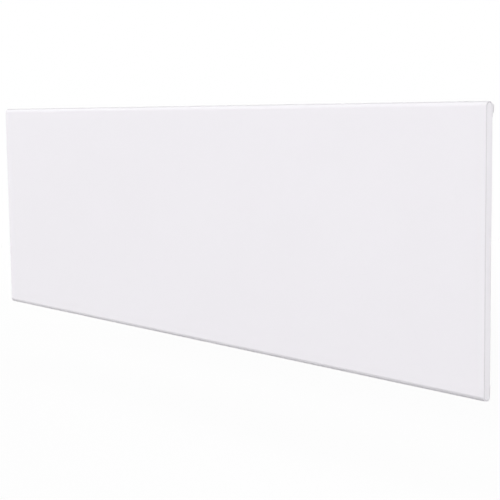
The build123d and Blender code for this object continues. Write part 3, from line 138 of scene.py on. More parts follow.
class HeaterFinishSettings(bpy.types.PropertyGroup):
    coat_colour: bpy.props.FloatVectorProperty(
        name="Coat Colour",
        description="Colour of the powder coat on the sheet metal",
        default=(0.87, 0.85, 0.885, 1.0),
        **COLOUR,
    )
    coat_roughness: bpy.props.FloatProperty(
        name="Coat Roughness",
        description="How matt the powder coat is",
        subtype="FACTOR",
        min=0.0,
        max=1.0,
        default=0.42,
    )
    # Painted shade in the groove round the end caps
    seam_shade_colour: bpy.props.FloatVectorProperty(
        name="Seam Colour",
        description="Shade in the groove round the end caps",
        default=(0.56, 0.55, 0.57, 1.0),
        **COLOUR,
    )
    # Painted shade along the panel's top and bottom bends
    bend_shade_colour: bpy.props.FloatVectorProperty(
        name="Bend Colour",
        description="Shade along the panel's top and bottom bends",
        default=(0.50, 0.49, 0.51, 1.0),
        **COLOUR,
    )
    # Painted dark shade inside the casing and grilles, in the box's pry slot and behind the end caps'
    # snaps
    recess_shade_colour: bpy.props.FloatVectorProperty(
        name="Primer Colour",
        description="Colour of the dark primer on the side of the sheets that faces the element",
        default=(0.035, 0.033, 0.036, 1.0),
        **COLOUR,
    )
    peel_size: bpy.props.FloatProperty(
        name="Orange Peel Size",
        description="Width of one ripple in the powder coat",
        unit="LENGTH",
        default=1.6 * MILLIMETRE,
    )
    peel_depth: bpy.props.FloatProperty(
        name="Orange Peel Depth",
        description="Height of the ripples in the powder coat",
        unit="LENGTH",
        default=0.012 * MILLIMETRE,
    )
    plastic_colour: bpy.props.FloatVectorProperty(
        name="Plastic Colour",
        description="Colour of the moulded control box, its buttons and the cord gland",
        default=(0.90, 0.885, 0.905, 1.0),
        **COLOUR,
    )
    lid_colour: bpy.props.FloatVectorProperty(
        name="Lid Colour",
        description="Colour of the moulded lid, a shade greyer than its box",
        default=(0.78, 0.765, 0.79, 1.0),
        **COLOUR,
    )
    # Painted shade on the lid's inner side, which makes it darker than its outer side
    lid_inner_shade_colour: bpy.props.FloatVectorProperty(
        name="Lid Inner Colour",
        description="Colour of the lid's inner side",
        default=(0.52, 0.51, 0.535, 1.0),
        **COLOUR,
    )
    plastic_roughness: bpy.props.FloatProperty(
        name="Plastic Roughness",
        description="How matt the moulded plastic is",
        subtype="FACTOR",
        min=0.0,
        max=1.0,
        default=0.38,
    )
    grain_size: bpy.props.FloatProperty(
        name="Grain Size",
        description="Width of one grain of the mould's texture",
        unit="LENGTH",
        default=0.35 * MILLIMETRE,
    )
    grain_depth: bpy.props.FloatProperty(
        name="Grain Depth",
        description="Height of the mould's texture",
        unit="LENGTH",
        default=0.008 * MILLIMETRE,
    )
    switch_colour: bpy.props.FloatVectorProperty(
        name="Switch Colour",
        description="Warm white of the rocker switch",
        default=(0.90, 0.875, 0.855, 1.0),
        **COLOUR,
    )


class HeaterSignSettings(bpy.types.PropertyGroup):
    print_colour: bpy.props.FloatVectorProperty(
        name="Button Print Colour",
        description="Ink of the signs on the buttons",
        default=(0.018, 0.016, 0.022, 1.0),
        **COLOUR,
    )
    pale_print_colour: bpy.props.FloatVectorProperty(
        name="Pale Print Colour",
        description="Ink of the small signs beside the indicator lights",
        default=(0.15, 0.15, 0.16, 1.0),
        **COLOUR,
    )
    rocker_print_colour: bpy.props.FloatVectorProperty(
        name="Rocker Print Colour",
        description="Ink of the on and off marks on the rocker",
        default=(0.16, 0.13, 0.10, 1.0),
        **COLOUR,
    )
    rocker_mark_height: bpy.props.FloatProperty(
        name="Rocker Mark Height",
        description="Height of the on and off marks",
        unit="LENGTH",
        default=4.4 * MILLIMETRE,
    )
    rocker_mark_stroke: bpy.props.FloatProperty(
        name="Rocker Mark Stroke",
        description="Width of a stroke of the on and off marks",
        unit="LENGTH",
        default=0.5 * MILLIMETRE,
    )
    rocker_apex: bpy.props.FloatProperty(
        name="Rocker Apex",
        description="Distance from the rocker's pivot to the ridge between its two faces",
        unit="LENGTH",
        default=5 * MILLIMETRE,
    )
    rocker_mark_reach: bpy.props.FloatProperty(
        name="Rocker Mark Reach",
        description="Distance from the rocker's ridge to the middle of a mark",
        unit="LENGTH",
        default=5.9 * MILLIMETRE,
    )
    ink_thickness: bpy.props.FloatProperty(
        name="Ink Thickness",
        description="How far a printed sign stands on its surface",
        unit="LENGTH",
        default=0.04 * MILLIMETRE,
    )
    button_sign_radius: bpy.props.FloatProperty(
        name="Button Sign Radius",
        description="Half the width of a sign on a button",
        unit="LENGTH",
        default=3.1 * MILLIMETRE,
    )
    button_stroke: bpy.props.FloatProperty(
        name="Button Stroke",
        description="Width of a printed stroke on a button",
        unit="LENGTH",
        default=1.0 * MILLIMETRE,
    )
    button_radius: bpy.props.FloatProperty(
        name="Button Radius",
        description="Radius of a button's visible face, with its rounded edge",
        unit="LENGTH",
        default=5.35 * MILLIMETRE,
    )
    button_edge: bpy.props.FloatProperty(
        name="Button Edge",
        description="Radius of the rounding along a button's edge",
        unit="LENGTH",
        default=0.35 * MILLIMETRE,
    )
    # Width of the painted shade along a button's edge, where the gap round it is dark
    rim_width: bpy.props.FloatProperty(
        name="Rim Width",
        description="Width of the fine dark ring printed along a button's edge",
        unit="LENGTH",
        default=0.5 * MILLIMETRE,
    )
    # Painted shade along a button's edge, where the gap round it is dark
    rim_shade_colour: bpy.props.FloatVectorProperty(
        name="Rim Colour",
        description="Ink of the fine ring along a button's edge",
        default=(0.085, 0.07, 0.10, 1.0),
        **COLOUR,
    )
    light_sign_radius: bpy.props.FloatProperty(
        name="Light Sign Radius",
        description="Half the width of a sign beside an indicator light",
        unit="LENGTH",
        default=1.75 * MILLIMETRE,
    )
    light_stroke: bpy.props.FloatProperty(
        name="Light Stroke",
        description="Width of a printed stroke beside an indicator light",
        unit="LENGTH",
        default=0.6 * MILLIMETRE,
    )
    light_sign_setback: bpy.props.FloatProperty(
        name="Light Sign Setback",
        description="How far behind its indicator light a small sign stands",
        unit="LENGTH",
        default=4.1 * MILLIMETRE,
    )
    glow_colour: bpy.props.FloatVectorProperty(
        name="Glow Colour",
        description="Colour of the lit digits",
        default=(0.17, 0.145, 0.42, 1.0),
        **COLOUR,
    )
    light_colour: bpy.props.FloatVectorProperty(
        name="Light Colour",
        description="Colour of a lit indicator light",
        default=(0.030, 0.018, 0.10, 1.0),
        **COLOUR,
    )
    light_radius: bpy.props.FloatProperty(
        name="Light Radius",
        description="Radius of a lit indicator light",
        unit="LENGTH",
        default=0.95 * MILLIMETRE,
    )
    halo_colour: bpy.props.FloatVectorProperty(
        name="Halo Colour",
        description="Tint that a lit indicator light throws on the surface round it",
        default=(0.62, 0.60, 0.92, 1.0),
        **COLOUR,
    )
    halo_radius: bpy.props.FloatProperty(
        name="Halo Radius",
        description="How far the tint round a lit indicator light reaches",
        unit="LENGTH",
        default=2.6 * MILLIMETRE,
    )
    segment_length: bpy.props.FloatProperty(
        name="Segment Length",
        description="Length of one segment of a digit",
        unit="LENGTH",
        default=5.2 * MILLIMETRE,
    )
    segment_width: bpy.props.FloatProperty(
        name="Segment Width",
        description="Width of one segment of a digit",
        unit="LENGTH",
        default=1.15 * MILLIMETRE,
    )
    digit_pitch: bpy.props.FloatProperty(
        name="Digit Pitch",
        description="Distance between the two digits",
        unit="LENGTH",
        default=8.0 * MILLIMETRE,
    )


class HeaterStageSettings(bpy.types.PropertyGroup):
    camera_place: bpy.props.FloatVectorProperty(
        name="Camera Place",
        description="Where the camera stands, in the heater's frame",
        subtype="TRANSLATION",
        unit="LENGTH",
        size=3,
        default=(1.5535, -1.2754, 0.1778),
    )
    camera_azimuth: bpy.props.FloatProperty(
        name="Camera Azimuth",
        description="Turn of the line of sight from straight on towards the right end",
        subtype="ANGLE",
        default=math.radians(49.82),
    )
    camera_pitch: bpy.props.FloatProperty(
        name="Camera Pitch",
        description="How far the line of sight looks down",
        subtype="ANGLE",
        default=math.radians(6.384),
    )
    camera_roll: bpy.props.FloatProperty(
        name="Camera Roll",
        description="Turn of the picture about the line of sight",
        subtype="ANGLE",
        default=math.radians(-0.722),
    )
    lens: bpy.props.FloatProperty(
        name="Lens",
        description="Focal length on a sensor 36 mm wide",
        default=90.17,
    )
    floor_drop: bpy.props.FloatProperty(
        name="Floor Drop",
        description="How far the floor lies below the heater",
        unit="LENGTH",
        default=0.12,
    )
    floor_size: bpy.props.FloatProperty(
        name="Floor Size",
        description="Length of the floor's side",
        unit="LENGTH",
        default=40.0,
    )
    floor_colour: bpy.props.FloatVectorProperty(
        name="Floor Colour",
        description="Colour that the floor throws back onto the heater",
        default=(0.10, 0.10, 0.105, 1.0),
        **COLOUR,
    )
    floor_whiteness: bpy.props.FloatProperty(
        name="Floor Whiteness",
        description="Share of plain white in the floor below the heater, where its shadow falls",
        subtype="FACTOR",
        min=0.0,
        max=1.0,
        default=0.92,
    )
    shadow_reach: bpy.props.FloatProperty(
        name="Shadow Reach",
        description="How far from the heater the floor starts to fade into the white backdrop",
        unit="LENGTH",
        default=0.9,
    )
    horizon_level: bpy.props.FloatProperty(
        name="Horizon Level",
        description="Strength of the room's light from the side",
        default=0.80,
    )
    zenith_level: bpy.props.FloatProperty(
        name="Zenith Level",
        description="Strength of the room's light from above",
        default=0.35,
    )
    front_strength: bpy.props.FloatProperty(
        name="Front Strength",
        description="Strength of the broad lamp in front",
        default=2.95,
    )
    side_strength: bpy.props.FloatProperty(
        name="Side Strength",
        description="Strength of the broad lamp beyond the right end",
        default=1.85,
    )
    left_strength: bpy.props.FloatProperty(
        name="Left Strength",
        description="Strength of the broad lamp beyond the left end",
        default=0.4,
    )
    back_strength: bpy.props.FloatProperty(
        name="Back Strength",
        description="Strength of the broad lamp behind",
        default=1.0,
    )
    lamp_spread: bpy.props.FloatProperty(
        name="Lamp Spread",
        description="Angle that a broad lamp fills, which softens its shadows",
        subtype="ANGLE",
        default=math.radians(50),
    )


# Shader nodes


def feed(tree, socket, value):
    """Links another node's output to a socket, or writes a plain value on it."""
    if isinstance(value, bpy.types.NodeSocket):
        tree.links.new(value, socket)
    else:
        socket.default_value = value


def add_node(tree, kind, inputs=(), **settings):
    """A node with its settings, and its inputs by name or number."""
    node = tree.nodes.new(kind)
    for setting, value in settings.items():
        setattr(node, setting, value)
    for socket, value in dict(inputs).items():
        feed(tree, node.inputs[socket], value)
    return node


def calculate(tree, operation, *values):
    """The result of a sum on plain numbers and other nodes' outputs."""
    node = add_node(tree, "ShaderNodeMath", enumerate(values), operation=operation)
    return node.outputs["Value"]


def combine(tree, operation, first, second, result="Vector"):
    """The result of a sum on two vectors."""
    inputs = {0: first, 1: second}
    return add_node(tree, "ShaderNodeVectorMath", inputs, operation=operation).outputs[result]


def blend_colours(tree, share, first, second):
    """The first colour where the share is 0, and the second where it is 1."""
    inputs = {"Factor": share, "A": first, "B": second}
    return add_node(tree, "ShaderNodeMix", inputs, data_type="RGBA").outputs["Result"]


def seen_rays(tree):
    """1 for rays that see the backdrop itself: camera, mirror and clear rays."""
    path = add_node(tree, "ShaderNodeLightPath")
    seen = path.outputs["Is Camera Ray"]
    for name in ("Is Glossy Ray", "Is Transmission Ray"):
        seen = calculate(tree, "MAXIMUM", seen, path.outputs[name])
    return seen


def toned(colour, share):
    """The colour, lighter or darker by a share."""
    return [min(1.0, channel * share) for channel in colour[:3]] + [1.0]


class SurfaceFinish:
    """A material whose principled shader is fed step by step."""

    def __init__(self, name):
        self.material = bpy.data.materials.new(name)
        self.material.use_nodes = True
        self.tree = self.material.node_tree
        self.inputs = self.tree.nodes["Principled BSDF"].inputs
        coordinates = add_node(self.tree, "ShaderNodeTexCoord")
        self.place = coordinates.outputs["Object"]
        self.normal = coordinates.outputs["Normal"]

    def put(self, name, value):
        """Feeds one input of the shader."""
        feed(self.tree, self.inputs[name], value)

    def noise(self, size, detail=2.0, stretch=None):
        """A noise whose features are about size across, or longer along an axis by stretch."""
        place = self.place
        if stretch:
            shares = [1.0 / share for share in stretch]
            mapping = add_node(self.tree, "ShaderNodeMapping", {"Vector": place, "Scale": shares})
            place = mapping.outputs["Vector"]
        inputs = {"Vector": place, "Scale": 1.0 / size, "Detail": detail}
        return add_node(self.tree, "ShaderNodeTexNoise", inputs).outputs["Fac"]

    def relief(self, height, depth):
        """Turns a pattern into a bump of that depth."""
        bump = add_node(self.tree, "ShaderNodeBump", {"Height": height, "Distance": depth})
        self.put("Normal", bump.outputs["Normal"])

    def tone(self, pattern, colour, low, high):
        """Lets the base colour wander between two shares of a colour."""
        mix = blend_colours(self.tree, pattern, toned(colour, low), toned(colour, high))
        self.put("Base Color", mix)

    def roughness(self, pattern, low, high):
        """Lets the roughness wander between two values."""
        inputs = {"Value": pattern, "To Min": low, "To Max": high}
        self.put("Roughness", add_node(self.tree, "ShaderNodeMapRange", inputs).outputs["Result"])

    def recolour(self, share, colour):
        """Lays a colour over the base colour by a share of it."""
        coat = self.inputs["Base Color"].links[0].from_socket
        self.put("Base Color", blend_colours(self.tree, share, coat, colour))

    def within(self, vector, bounds):
        """1 where a vector lies between the lowest and highest value of each named axis."""
        split = add_node(self.tree, "ShaderNodeSeparateXYZ", {"Vector": vector})
        share = 1.0
        for axis, (low, high) in bounds.items():
            middle, reach = (low + high) / 2, (high - low) / 2
            inside = calculate(self.tree, "COMPARE", split.outputs[axis], middle, reach)
            share = calculate(self.tree, "MULTIPLY", share, inside)
        return share

    def prime(self, colour, limit):
        """Painted dark shade on the sheet faces that look away from the outside by less than a limit.

        The limit is a distance: how far outwards a face stands from the middle of the casing's front.
        """
        low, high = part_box("rear_casing")
        middle = (0.0, low.y, (low.z + high.z) / 2)
        outward = combine(self.tree, "SUBTRACT", self.place, middle)
        across = combine(self.tree, "MULTIPLY", outward, (0.0, 1.0, 1.0))
        facing = combine(self.tree, "DOT_PRODUCT", across, self.normal, "Value")
        inner = calculate(self.tree, "LESS_THAN", facing, limit)
        casing = self.within(self.place, {"X": (low.x, high.x), "Z": (low.z, high.z)})
        self.recolour(calculate(self.tree, "MULTIPLY", inner, casing), colour)

    def shade_seam(self, colour, bounds):
        """Painted shade in the groove round an end cap: on its bevelled rim and its sides."""
        rim = self.within(self.normal, CAP_RIM_NORMALS)
        inside = self.within(self.place, bounds)
        self.recolour(calculate(self.tree, "MULTIPLY", rim, inside), colour)

    def shade_bends(self, colour, bounds):
        """Painted shade along the panel's bends, after how far the surface looks up or down."""
        split = add_node(self.tree, "ShaderNodeSeparateXYZ", {"Vector": self.normal})
        inputs = {"Value": split.outputs["Z"], "From Min": -1.0}
        upward = add_node(self.tree, "ShaderNodeMapRange", inputs).outputs["Result"]
        shade = add_node(self.tree, "ShaderNodeValToRGB", {"Fac": upward})
        stops = shade.color_ramp.elements
        while len(stops) < len(BEND_SHADES):
            stops.new(1.0)
        for stop, (height, share) in zip(stops, BEND_SHADES):
            stop.position = (height + 1) / 2
            stop.color = (share, share, share, 1.0)
        inside = self.within(self.place, bounds)
        self.recolour(calculate(self.tree, "MULTIPLY", shade.outputs["Color"], inside), colour)


# Finishes


def powder_coat(name, colour, finish):
    """Satin powder coat: slow drifts of tone, a fine orange peel."""
    coat = SurfaceFinish(name)
    drift_size, gloss_drift = 0.25, 0.04
    drift = coat.noise(drift_size)
    coat.tone(drift, colour, *PALE_DRIFT)
    coat.roughness(drift, finish.coat_roughness - gloss_drift, finish.coat_roughness + gloss_drift)
    coat.relief(coat.noise(finish.peel_size, 1.0), finish.peel_depth)
    coat.put("Specular IOR Level", PALE_GLOSS)
    return coat


def moulded_plastic(name, colour, roughness, finish, grain=1.0):
    """Moulded plastic with the mould's fine grain."""
    plastic = SurfaceFinish(name)
    drift_size, gloss_drift = 0.03, 0.03
    drift = plastic.noise(drift_size)
    plastic.tone(drift, colour, *PALE_DRIFT)
    plastic.roughness(drift, roughness - gloss_drift, roughness + gloss_drift)
    plastic.relief(plastic.noise(finish.grain_size, 3.0), grain * finish.grain_depth)
    plastic.put("Specular IOR Level", PALE_GLOSS)
    return plastic


def bright_metal(name, colour, roughness, along=(12.0, 1.0, 1.0)):
    """Metal with fine drawing lines along one axis."""
    metal = SurfaceFinish(name)
    line_width, line_depth, gloss_drift = 0.4 * MILLIMETRE, 0.004 * MILLIMETRE, 0.08
    lines = metal.noise(line_width, 4.0, along)
    metal.tone(lines, colour, 0.88, 1.08)
    metal.roughness(lines, roughness - gloss_drift, roughness + gloss_drift)
    metal.relief(lines, line_depth)
    metal.put("Metallic", 1.0)
    return metal


def galvanised_sheet(name, colour):
    """Zinc with its crystal spangle."""
    zinc = SurfaceFinish(name)
    crystal = 7 * MILLIMETRE
    inputs = {"Vector": zinc.place, "Scale": 1.0 / crystal}
    spangle = add_node(zinc.tree, "ShaderNodeTexVoronoi", inputs).outputs["Color"]
    split = add_node(zinc.tree, "ShaderNodeSeparateColor", {"Color": spangle})
    zinc.tone(split.outputs["Red"], colour, 0.82, 1.1)
    zinc.roughness(split.outputs["Green"], 0.34, 0.56)
    zinc.put("Metallic", 1.0)
    return zinc


def tinted_window(name, colour):
    """Smooth smoked plastic, dark round the lit digits."""
    window = SurfaceFinish(name)
    streak = 4 * MILLIMETRE
    window.tone(window.noise(streak), colour, 0.9, 1.1)
    window.put("Roughness", 0.12)
    window.put("Specular IOR Level", 0.3)
    return window


def circuit_board(name, colour):
    """Solder mask with copper tracks showing through as paler lines."""
    board = SurfaceFinish(name)
    track_pitch, track_depth, track_share = 9 * MILLIMETRE, 0.03 * MILLIMETRE, 0.06
    inputs = {
        "Vector": board.place,
        "Scale": 1.0 / track_pitch,
        "Mortar Size": track_share,
        "Color1": toned(colour, 0.9),
        "Color2": toned(colour, 1.0),
        "Mortar": toned(colour, 1.7),
    }
    tracks = add_node(board.tree, "ShaderNodeTexBrick", inputs)
    board.put("Base Color", tracks.outputs["Color"])
    board.put("Roughness", 0.32)
    board.relief(tracks.outputs["Fac"], track_depth)
    return board


def ceramic(name, colour):
    """Unglazed ceramic with a sandy surface."""
    clay = SurfaceFinish(name)
    sand_size, sand_depth = 0.5 * MILLIMETRE, 0.05 * MILLIMETRE
    sand = clay.noise(sand_size, 4.0)
    clay.tone(sand, colour, 0.93, 1.03)
    clay.put("Roughness", 0.72)
    clay.relief(sand, sand_depth)
    return clay


def soft_rubber(name, colour):
    """Matt rubber, a little dusty."""
    rubber = SurfaceFinish(name)
    dust_size, dust_depth = 2.5 * MILLIMETRE, 0.02 * MILLIMETRE
    dust = rubber.noise(dust_size, 4.0)
    rubber.tone(dust, colour, 0.8, 1.35)
    rubber.roughness(dust, 0.6, 0.85)
    rubber.relief(dust, dust_depth)
    return rubber


def printed_ink(name, colour):
    """Pad printed ink, thin and slightly uneven."""
    ink = SurfaceFinish(name)
    fleck = 0.5 * MILLIMETRE
    ink.tone(ink.noise(fleck), colour, 0.85, 1.2)
    ink.put("Roughness", 0.5)
    return ink


def lit_plastic(name, colour):
    """Milky plastic lit faintly from inside."""
    glow = SurfaceFinish(name)
    core = 1.2 * MILLIMETRE
    glow.tone(glow.noise(core), colour, 0.85, 1.15)
    glow.put("Emission Color", colour)
    glow.put("Emission Strength", 0.3)
    glow.put("Roughness", 0.3)
    return glow


def fading_halo(name, plastic_colour, halo_colour, roughness):
    """Tint that fades from a light's edge into the plastic, after the mesh's fade attribute."""
    halo = SurfaceFinish(name)
    fade = add_node(halo.tree, "ShaderNodeAttribute", attribute_name="fade").outputs["Fac"]
    plastic = toned(plastic_colour, 1.0)
    halo.put("Base Color", blend_colours(halo.tree, fade, plastic, halo_colour))
    halo.put("Roughness", roughness)
    return halo


def pale_floor(stage):
    """A matt floor's material, which holds the heater's shadow and fades to white further off."""
    material = bpy.data.materials.new("pale_floor")
    material.use_nodes = True
    tree = material.node_tree
    tree.nodes.clear()
    seen = seen_rays(tree)
    colour = blend_colours(tree, seen, stage.floor_colour, WHITE)
    matt = add_node(tree, "ShaderNodeBsdfDiffuse", {"Color": colour}).outputs["BSDF"]
    white = add_node(tree, "ShaderNodeEmission", {"Color": WHITE}).outputs["Emission"]
    place = add_node(tree, "ShaderNodeTexCoord").outputs["Object"]
    centre = (0.0, 0.0, 0.0)
    fade_end = 3 * stage.shadow_reach
    fade_inputs = {
        "Value": combine(tree, "DISTANCE", place, centre, "Value"),
        "From Min": stage.shadow_reach,
        "From Max": fade_end,
        "To Min": stage.floor_whiteness,
    }
    fade = add_node(tree, "ShaderNodeMapRange", fade_inputs).outputs["Result"]
    share = calculate(tree, "MULTIPLY", seen, fade)
    mix = add_node(tree, "ShaderNodeMixShader", {"Fac": share, 1: matt, 2: white})
    add_node(tree, "ShaderNodeOutputMaterial", {"Surface": mix.outputs["Shader"]})
    return material


def dress(finish, *node_names):
    """Gives CAD nodes a finish through their material slots."""
    for node_name in node_names:
        node = frame["nodes"][node_name]
        node.data.materials.clear()
        node.data.materials.append(finish.material)


# Shapes


def new_piece(name, bm, finish, body):
    """Makes a bmesh an object of the heater that rides on a body."""
    bmesh.ops.recalc_face_normals(bm, faces=bm.faces)
    mesh = bpy.data.meshes.new(name)
    bm.to_mesh(mesh)
    bm.free()
    mesh.materials.append(finish.material)
    piece = bpy.data.objects.new(name, mesh)
    bpy.context.scene.collection.objects.link(piece)
    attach(piece, body)
    return piece


def top_centre(node_name):
    """The middle of a CAD node's top."""
    low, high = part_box(node_name)
    return Vector(((low.x + high.x) / 2, (low.y + high.y) / 2, high.z))


def add_bar(bm, matrix, start, end, width, thickness):
    """A straight printed stroke, a hair higher than the strokes before it, which it may cross."""
    thickness *= 1 + BAR_RISE * len(bm.verts)
    start, end = Vector(start), Vector(end)
    run = end - start
    middle = (start + end) / 2
    turn = Matrix.Rotation(math.atan2(run.y, run.x), 4, "Z")
    scale = Matrix.Diagonal((run.length, width, thickness, 1.0))
    local = Matrix.Translation((middle.x, middle.y, thickness / 2)) @ turn @ scale
    bmesh.ops.create_cube(bm, size=1.0, matrix=matrix @ local)


def add_ring(bm, matrix, centre, outer, inner, thickness, start=0.0, turn=math.tau, steps=RING_STEPS):
    """A printed ring, or an arc of one that starts at an angle and turns on."""
    thickness *= 1 + RING_RISE * len(bm.verts)
    near = Vector((*centre, 0.0))
    heading = Vector((math.cos(start), math.sin(start), 0.0))
    corners = [
        bm.verts.new(matrix @ (near + heading * radius + Vector((0.0, 0.0, height))))
        for radius, height in ((inner, 0.0), (outer, 0.0), (outer, thickness), (inner, thickness))
    ]
    profile = bm.faces.new(corners)
    full = math.isclose(turn, math.tau)
    if full:
        geometry = list(profile.edges)
        bmesh.ops.delete(bm, geom=[profile], context="FACES_ONLY")
    else:
        geometry = [profile, *profile.edges, *corners]
        steps = max(3, int(steps * turn / math.tau))
    bmesh.ops.spin(
        bm,
        geom=geometry,
        cent=matrix @ near,
        axis=matrix.to_3x3() @ Vector((0.0, 0.0, 1.0)),
        angle=turn,
        steps=steps,
        use_merge=full,
    )


def add_dot(bm, matrix, radius, thickness):
    """A printed dot."""
    bmesh.ops.create_cone(
        bm,
        cap_ends=True,
        segments=DOT_SEGMENTS,
        radius1=radius,
        radius2=radius,
        depth=thickness,
        matrix=matrix @ Matrix.Translation((0.0, 0.0, thickness / 2)),
    )


def add_rim(bm, matrix, radius, width, edge, thickness):
    """A ring of painted shade along a button's edge, over its rounding and a little down its side."""
    profile = [(radius - width, thickness), (radius - edge, thickness)]
    for step in range(1, 4):
        turn = step * math.pi / 6
        reach = edge + thickness
        profile.append((radius - edge + reach * math.sin(turn), reach * math.cos(turn) - edge))
    profile += [(radius - edge, -edge), (radius - width, -edge)]
    corners = [bm.verts.new(matrix @ Vector((across, 0.0, height))) for across, height in profile]
    loop = [bm.edges.new(pair) for pair in zip(corners, corners[1:] + corners[:1])]
    bmesh.ops.spin(
        bm,
        geom=loop,
        cent=matrix.translation,
        axis=(0.0, 0.0, 1.0),
        angle=math.tau,
        steps=RIM_STEPS,
        use_merge=True,
    )


def add_segment(bm, matrix, middle, upright, length, width, thickness):
    """One segment of a digit: a bar with pointed ends."""
    turn = math.pi / 2 if upright else 0.0
    local = Matrix.Translation((*middle, 0.0)) @ Matrix.Rotation(turn, 4, "Z")
    straight, half = length / 2 - width / 2, width / 2
    outline = (
        (-straight - half, 0),
        (-straight, -half),
        (straight, -half),
        (straight + half, 0),
        (straight, half),
        (-straight, half),
    )
    corners = [bm.verts.new(matrix @ local @ Vector((x, y, 0.0))) for x, y in outline]
    grown = bmesh.ops.extrude_face_region(bm, geom=[bm.faces.new(corners)])
    raised = [item for item in grown["geom"] if isinstance(item, bmesh.types.BMVert)]
    lift = matrix.to_3x3() @ Vector((0.0, 0.0, thickness))
    bmesh.ops.translate(bm, verts=raised, vec=lift)


class SignPen:
    """Prints the strokes of one flat sign, whose points and radii are shares of its reach."""

    def __init__(self, bm, place, reach, stroke, thickness):
        self.bm = bm
        self.matrix = Matrix.Translation(place)
        self.reach = reach
        self.stroke = stroke
        self.thickness = thickness

    def bar(self, start, end, weight=1.0):
        """A straight stroke."""
        start, end = [(across * self.reach, up * self.reach) for across, up in (start, end)]
        add_bar(self.bm, self.matrix, start, end, self.stroke * weight, self.thickness)

    def ring(self, radius=1.0, weight=1.0, start=0.0, turn=math.tau):
        """A ring or an arc about the middle, whose outer edge has that radius."""
        outer = self.reach * radius
        inner = outer - self.stroke * weight
        add_ring(self.bm, self.matrix, (0, 0), outer, inner, self.thickness, start, turn)

    def half_ring(self, centre, radius, start):
        """Half a ring, whose middle line has that radius."""
        middle = [share * self.reach for share in centre]
        outer, inner = [self.reach * radius + side * self.stroke / 2 for side in (1, -1)]
        add_ring(
            self.bm, self.matrix, middle, outer, inner, self.thickness, start, math.pi, HALF_RING_STEPS
        )

    def dot(self, weight):
        """A dot in the middle, whose radius is a share of the stroke."""
        add_dot(self.bm, self.matrix, self.stroke * weight, self.thickness)


# Signs, drawn as someone in front of the heater reads them


def sign_set(pen):
    pen.ring()
    pen.dot(0.95)


def sign_minus(pen):
    pen.bar((-1, 0), (1, 0))


def sign_plus(pen):
    half_stroke = pen.stroke / 2 / pen.reach
    pen.bar((-1, 0), (1, 0))
    for side in (-1, 1):
        pen.bar((0, side * half_stroke), (0, side))


def sign_program(pen):
    pen.bar((-0.62, -0.95), (-0.62, 0.75), 0.9)
    pen.bar((0.62, -0.8), (0.62, 0.85), 1.6)
    pen.bar((-0.62, -0.68), (0.62, -0.68), 0.8)


def sign_timer(pen):
    for end in (-1, 1):
        pen.bar((end * 0.7, -0.7), (end * 0.7, 0.7), 1.5)
        pen.bar((-0.7, end * 0.7), (0.7, -end * 0.7), 0.8)


def sign_power(pen):
    gap = math.radians(72)
    pen.ring(weight=1.1, start=math.pi / 2 + gap / 2, turn=math.tau - gap)
    pen.bar((0, 0.1), (0, 1.05))


BUTTON_SIGNS = {
    "button_set": sign_set,
    "button_minus": sign_minus,
    "button_plus": sign_plus,
    "button_program": sign_program,
    "button_timer": sign_timer,
    "button_power": sign_power,
}


def sign_pill(pen):
    for side in (-1, 1):
        pen.bar((-0.5, side * 0.5), (0.5, side * 0.5))
        pen.half_ring((side * 0.5, 0), 0.5, -side * math.pi / 2)


def sign_wave(pen):
    for side, start in ((-1, 0.0), (1, math.pi)):
        pen.half_ring((side * 0.5, 0), 0.5, start)


def sign_bars(pen):
    for side in (-1, 1):
        pen.bar((side * 0.45, -0.7), (side * 0.45, 1))
    pen.half_ring((0, -0.7), 0.45, math.pi)


def sign_humps(pen):
    for side in (-1, 1):
        pen.half_ring((side * 0.5, -0.2), 0.5, 0.0)


def sign_moon(pen):
    pen.ring(0.85)
    pen.bar((0, 0.8), (0.4, 1.3), 1.5)


def sign_clock(pen):
    pen.ring(0.95)
    pen.bar((0, 0), (0, 0.6), 0.8)
    pen.bar((0, 0), (0.45, 0), 0.8)


LIGHT_SIGNS = (sign_pill, sign_wave, sign_bars, sign_humps, sign_moon, sign_clock)


class HEATER_OT_coated_sheets(bpy.types.Operator):
    """Give the panel, casing, grilles and wall bracket their powder coat"""

    bl_idname = "heater.coated_sheets"
    bl_label = "Coat the Sheets"

    def execute(self, context):
        finish = context.scene.heater_finish
        panel_low, panel_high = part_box("front_panel")
        coat = powder_coat("white_powder_coat", finish.coat_colour, finish)
        # Painted shade along the panel's top and bottom bends
        coat.shade_bends(finish.bend_shade_colour, {"Y": (panel_low.y, panel_high.y)})
        # Painted dark shade on the inner faces of the panel and casing
        coat.prime(finish.recess_shade_colour, SHEET_SHADE_LIMIT)
        dress(coat, "front_panel", "rear_casing")
        grille_coat = powder_coat("grille_powder_coat", finish.coat_colour, finish)
        # Painted dark shade on the grilles' inner faces
        grille_coat.prime(finish.recess_shade_colour, GRILLE_SHADE_LIMIT)
        dress(grille_coat, "outlet_grille", "inlet_grille")
        bracket_coat = powder_coat("bracket_powder_coat", toned(finish.coat_colour, 0.96), finish)
        dress(bracket_coat, "bracket_upright_left", "bracket_upright_right", "lock_tab")
        dress(bracket_coat, "bracket_rail_upper", "bracket_rail_lower")
        return {"FINISHED"}


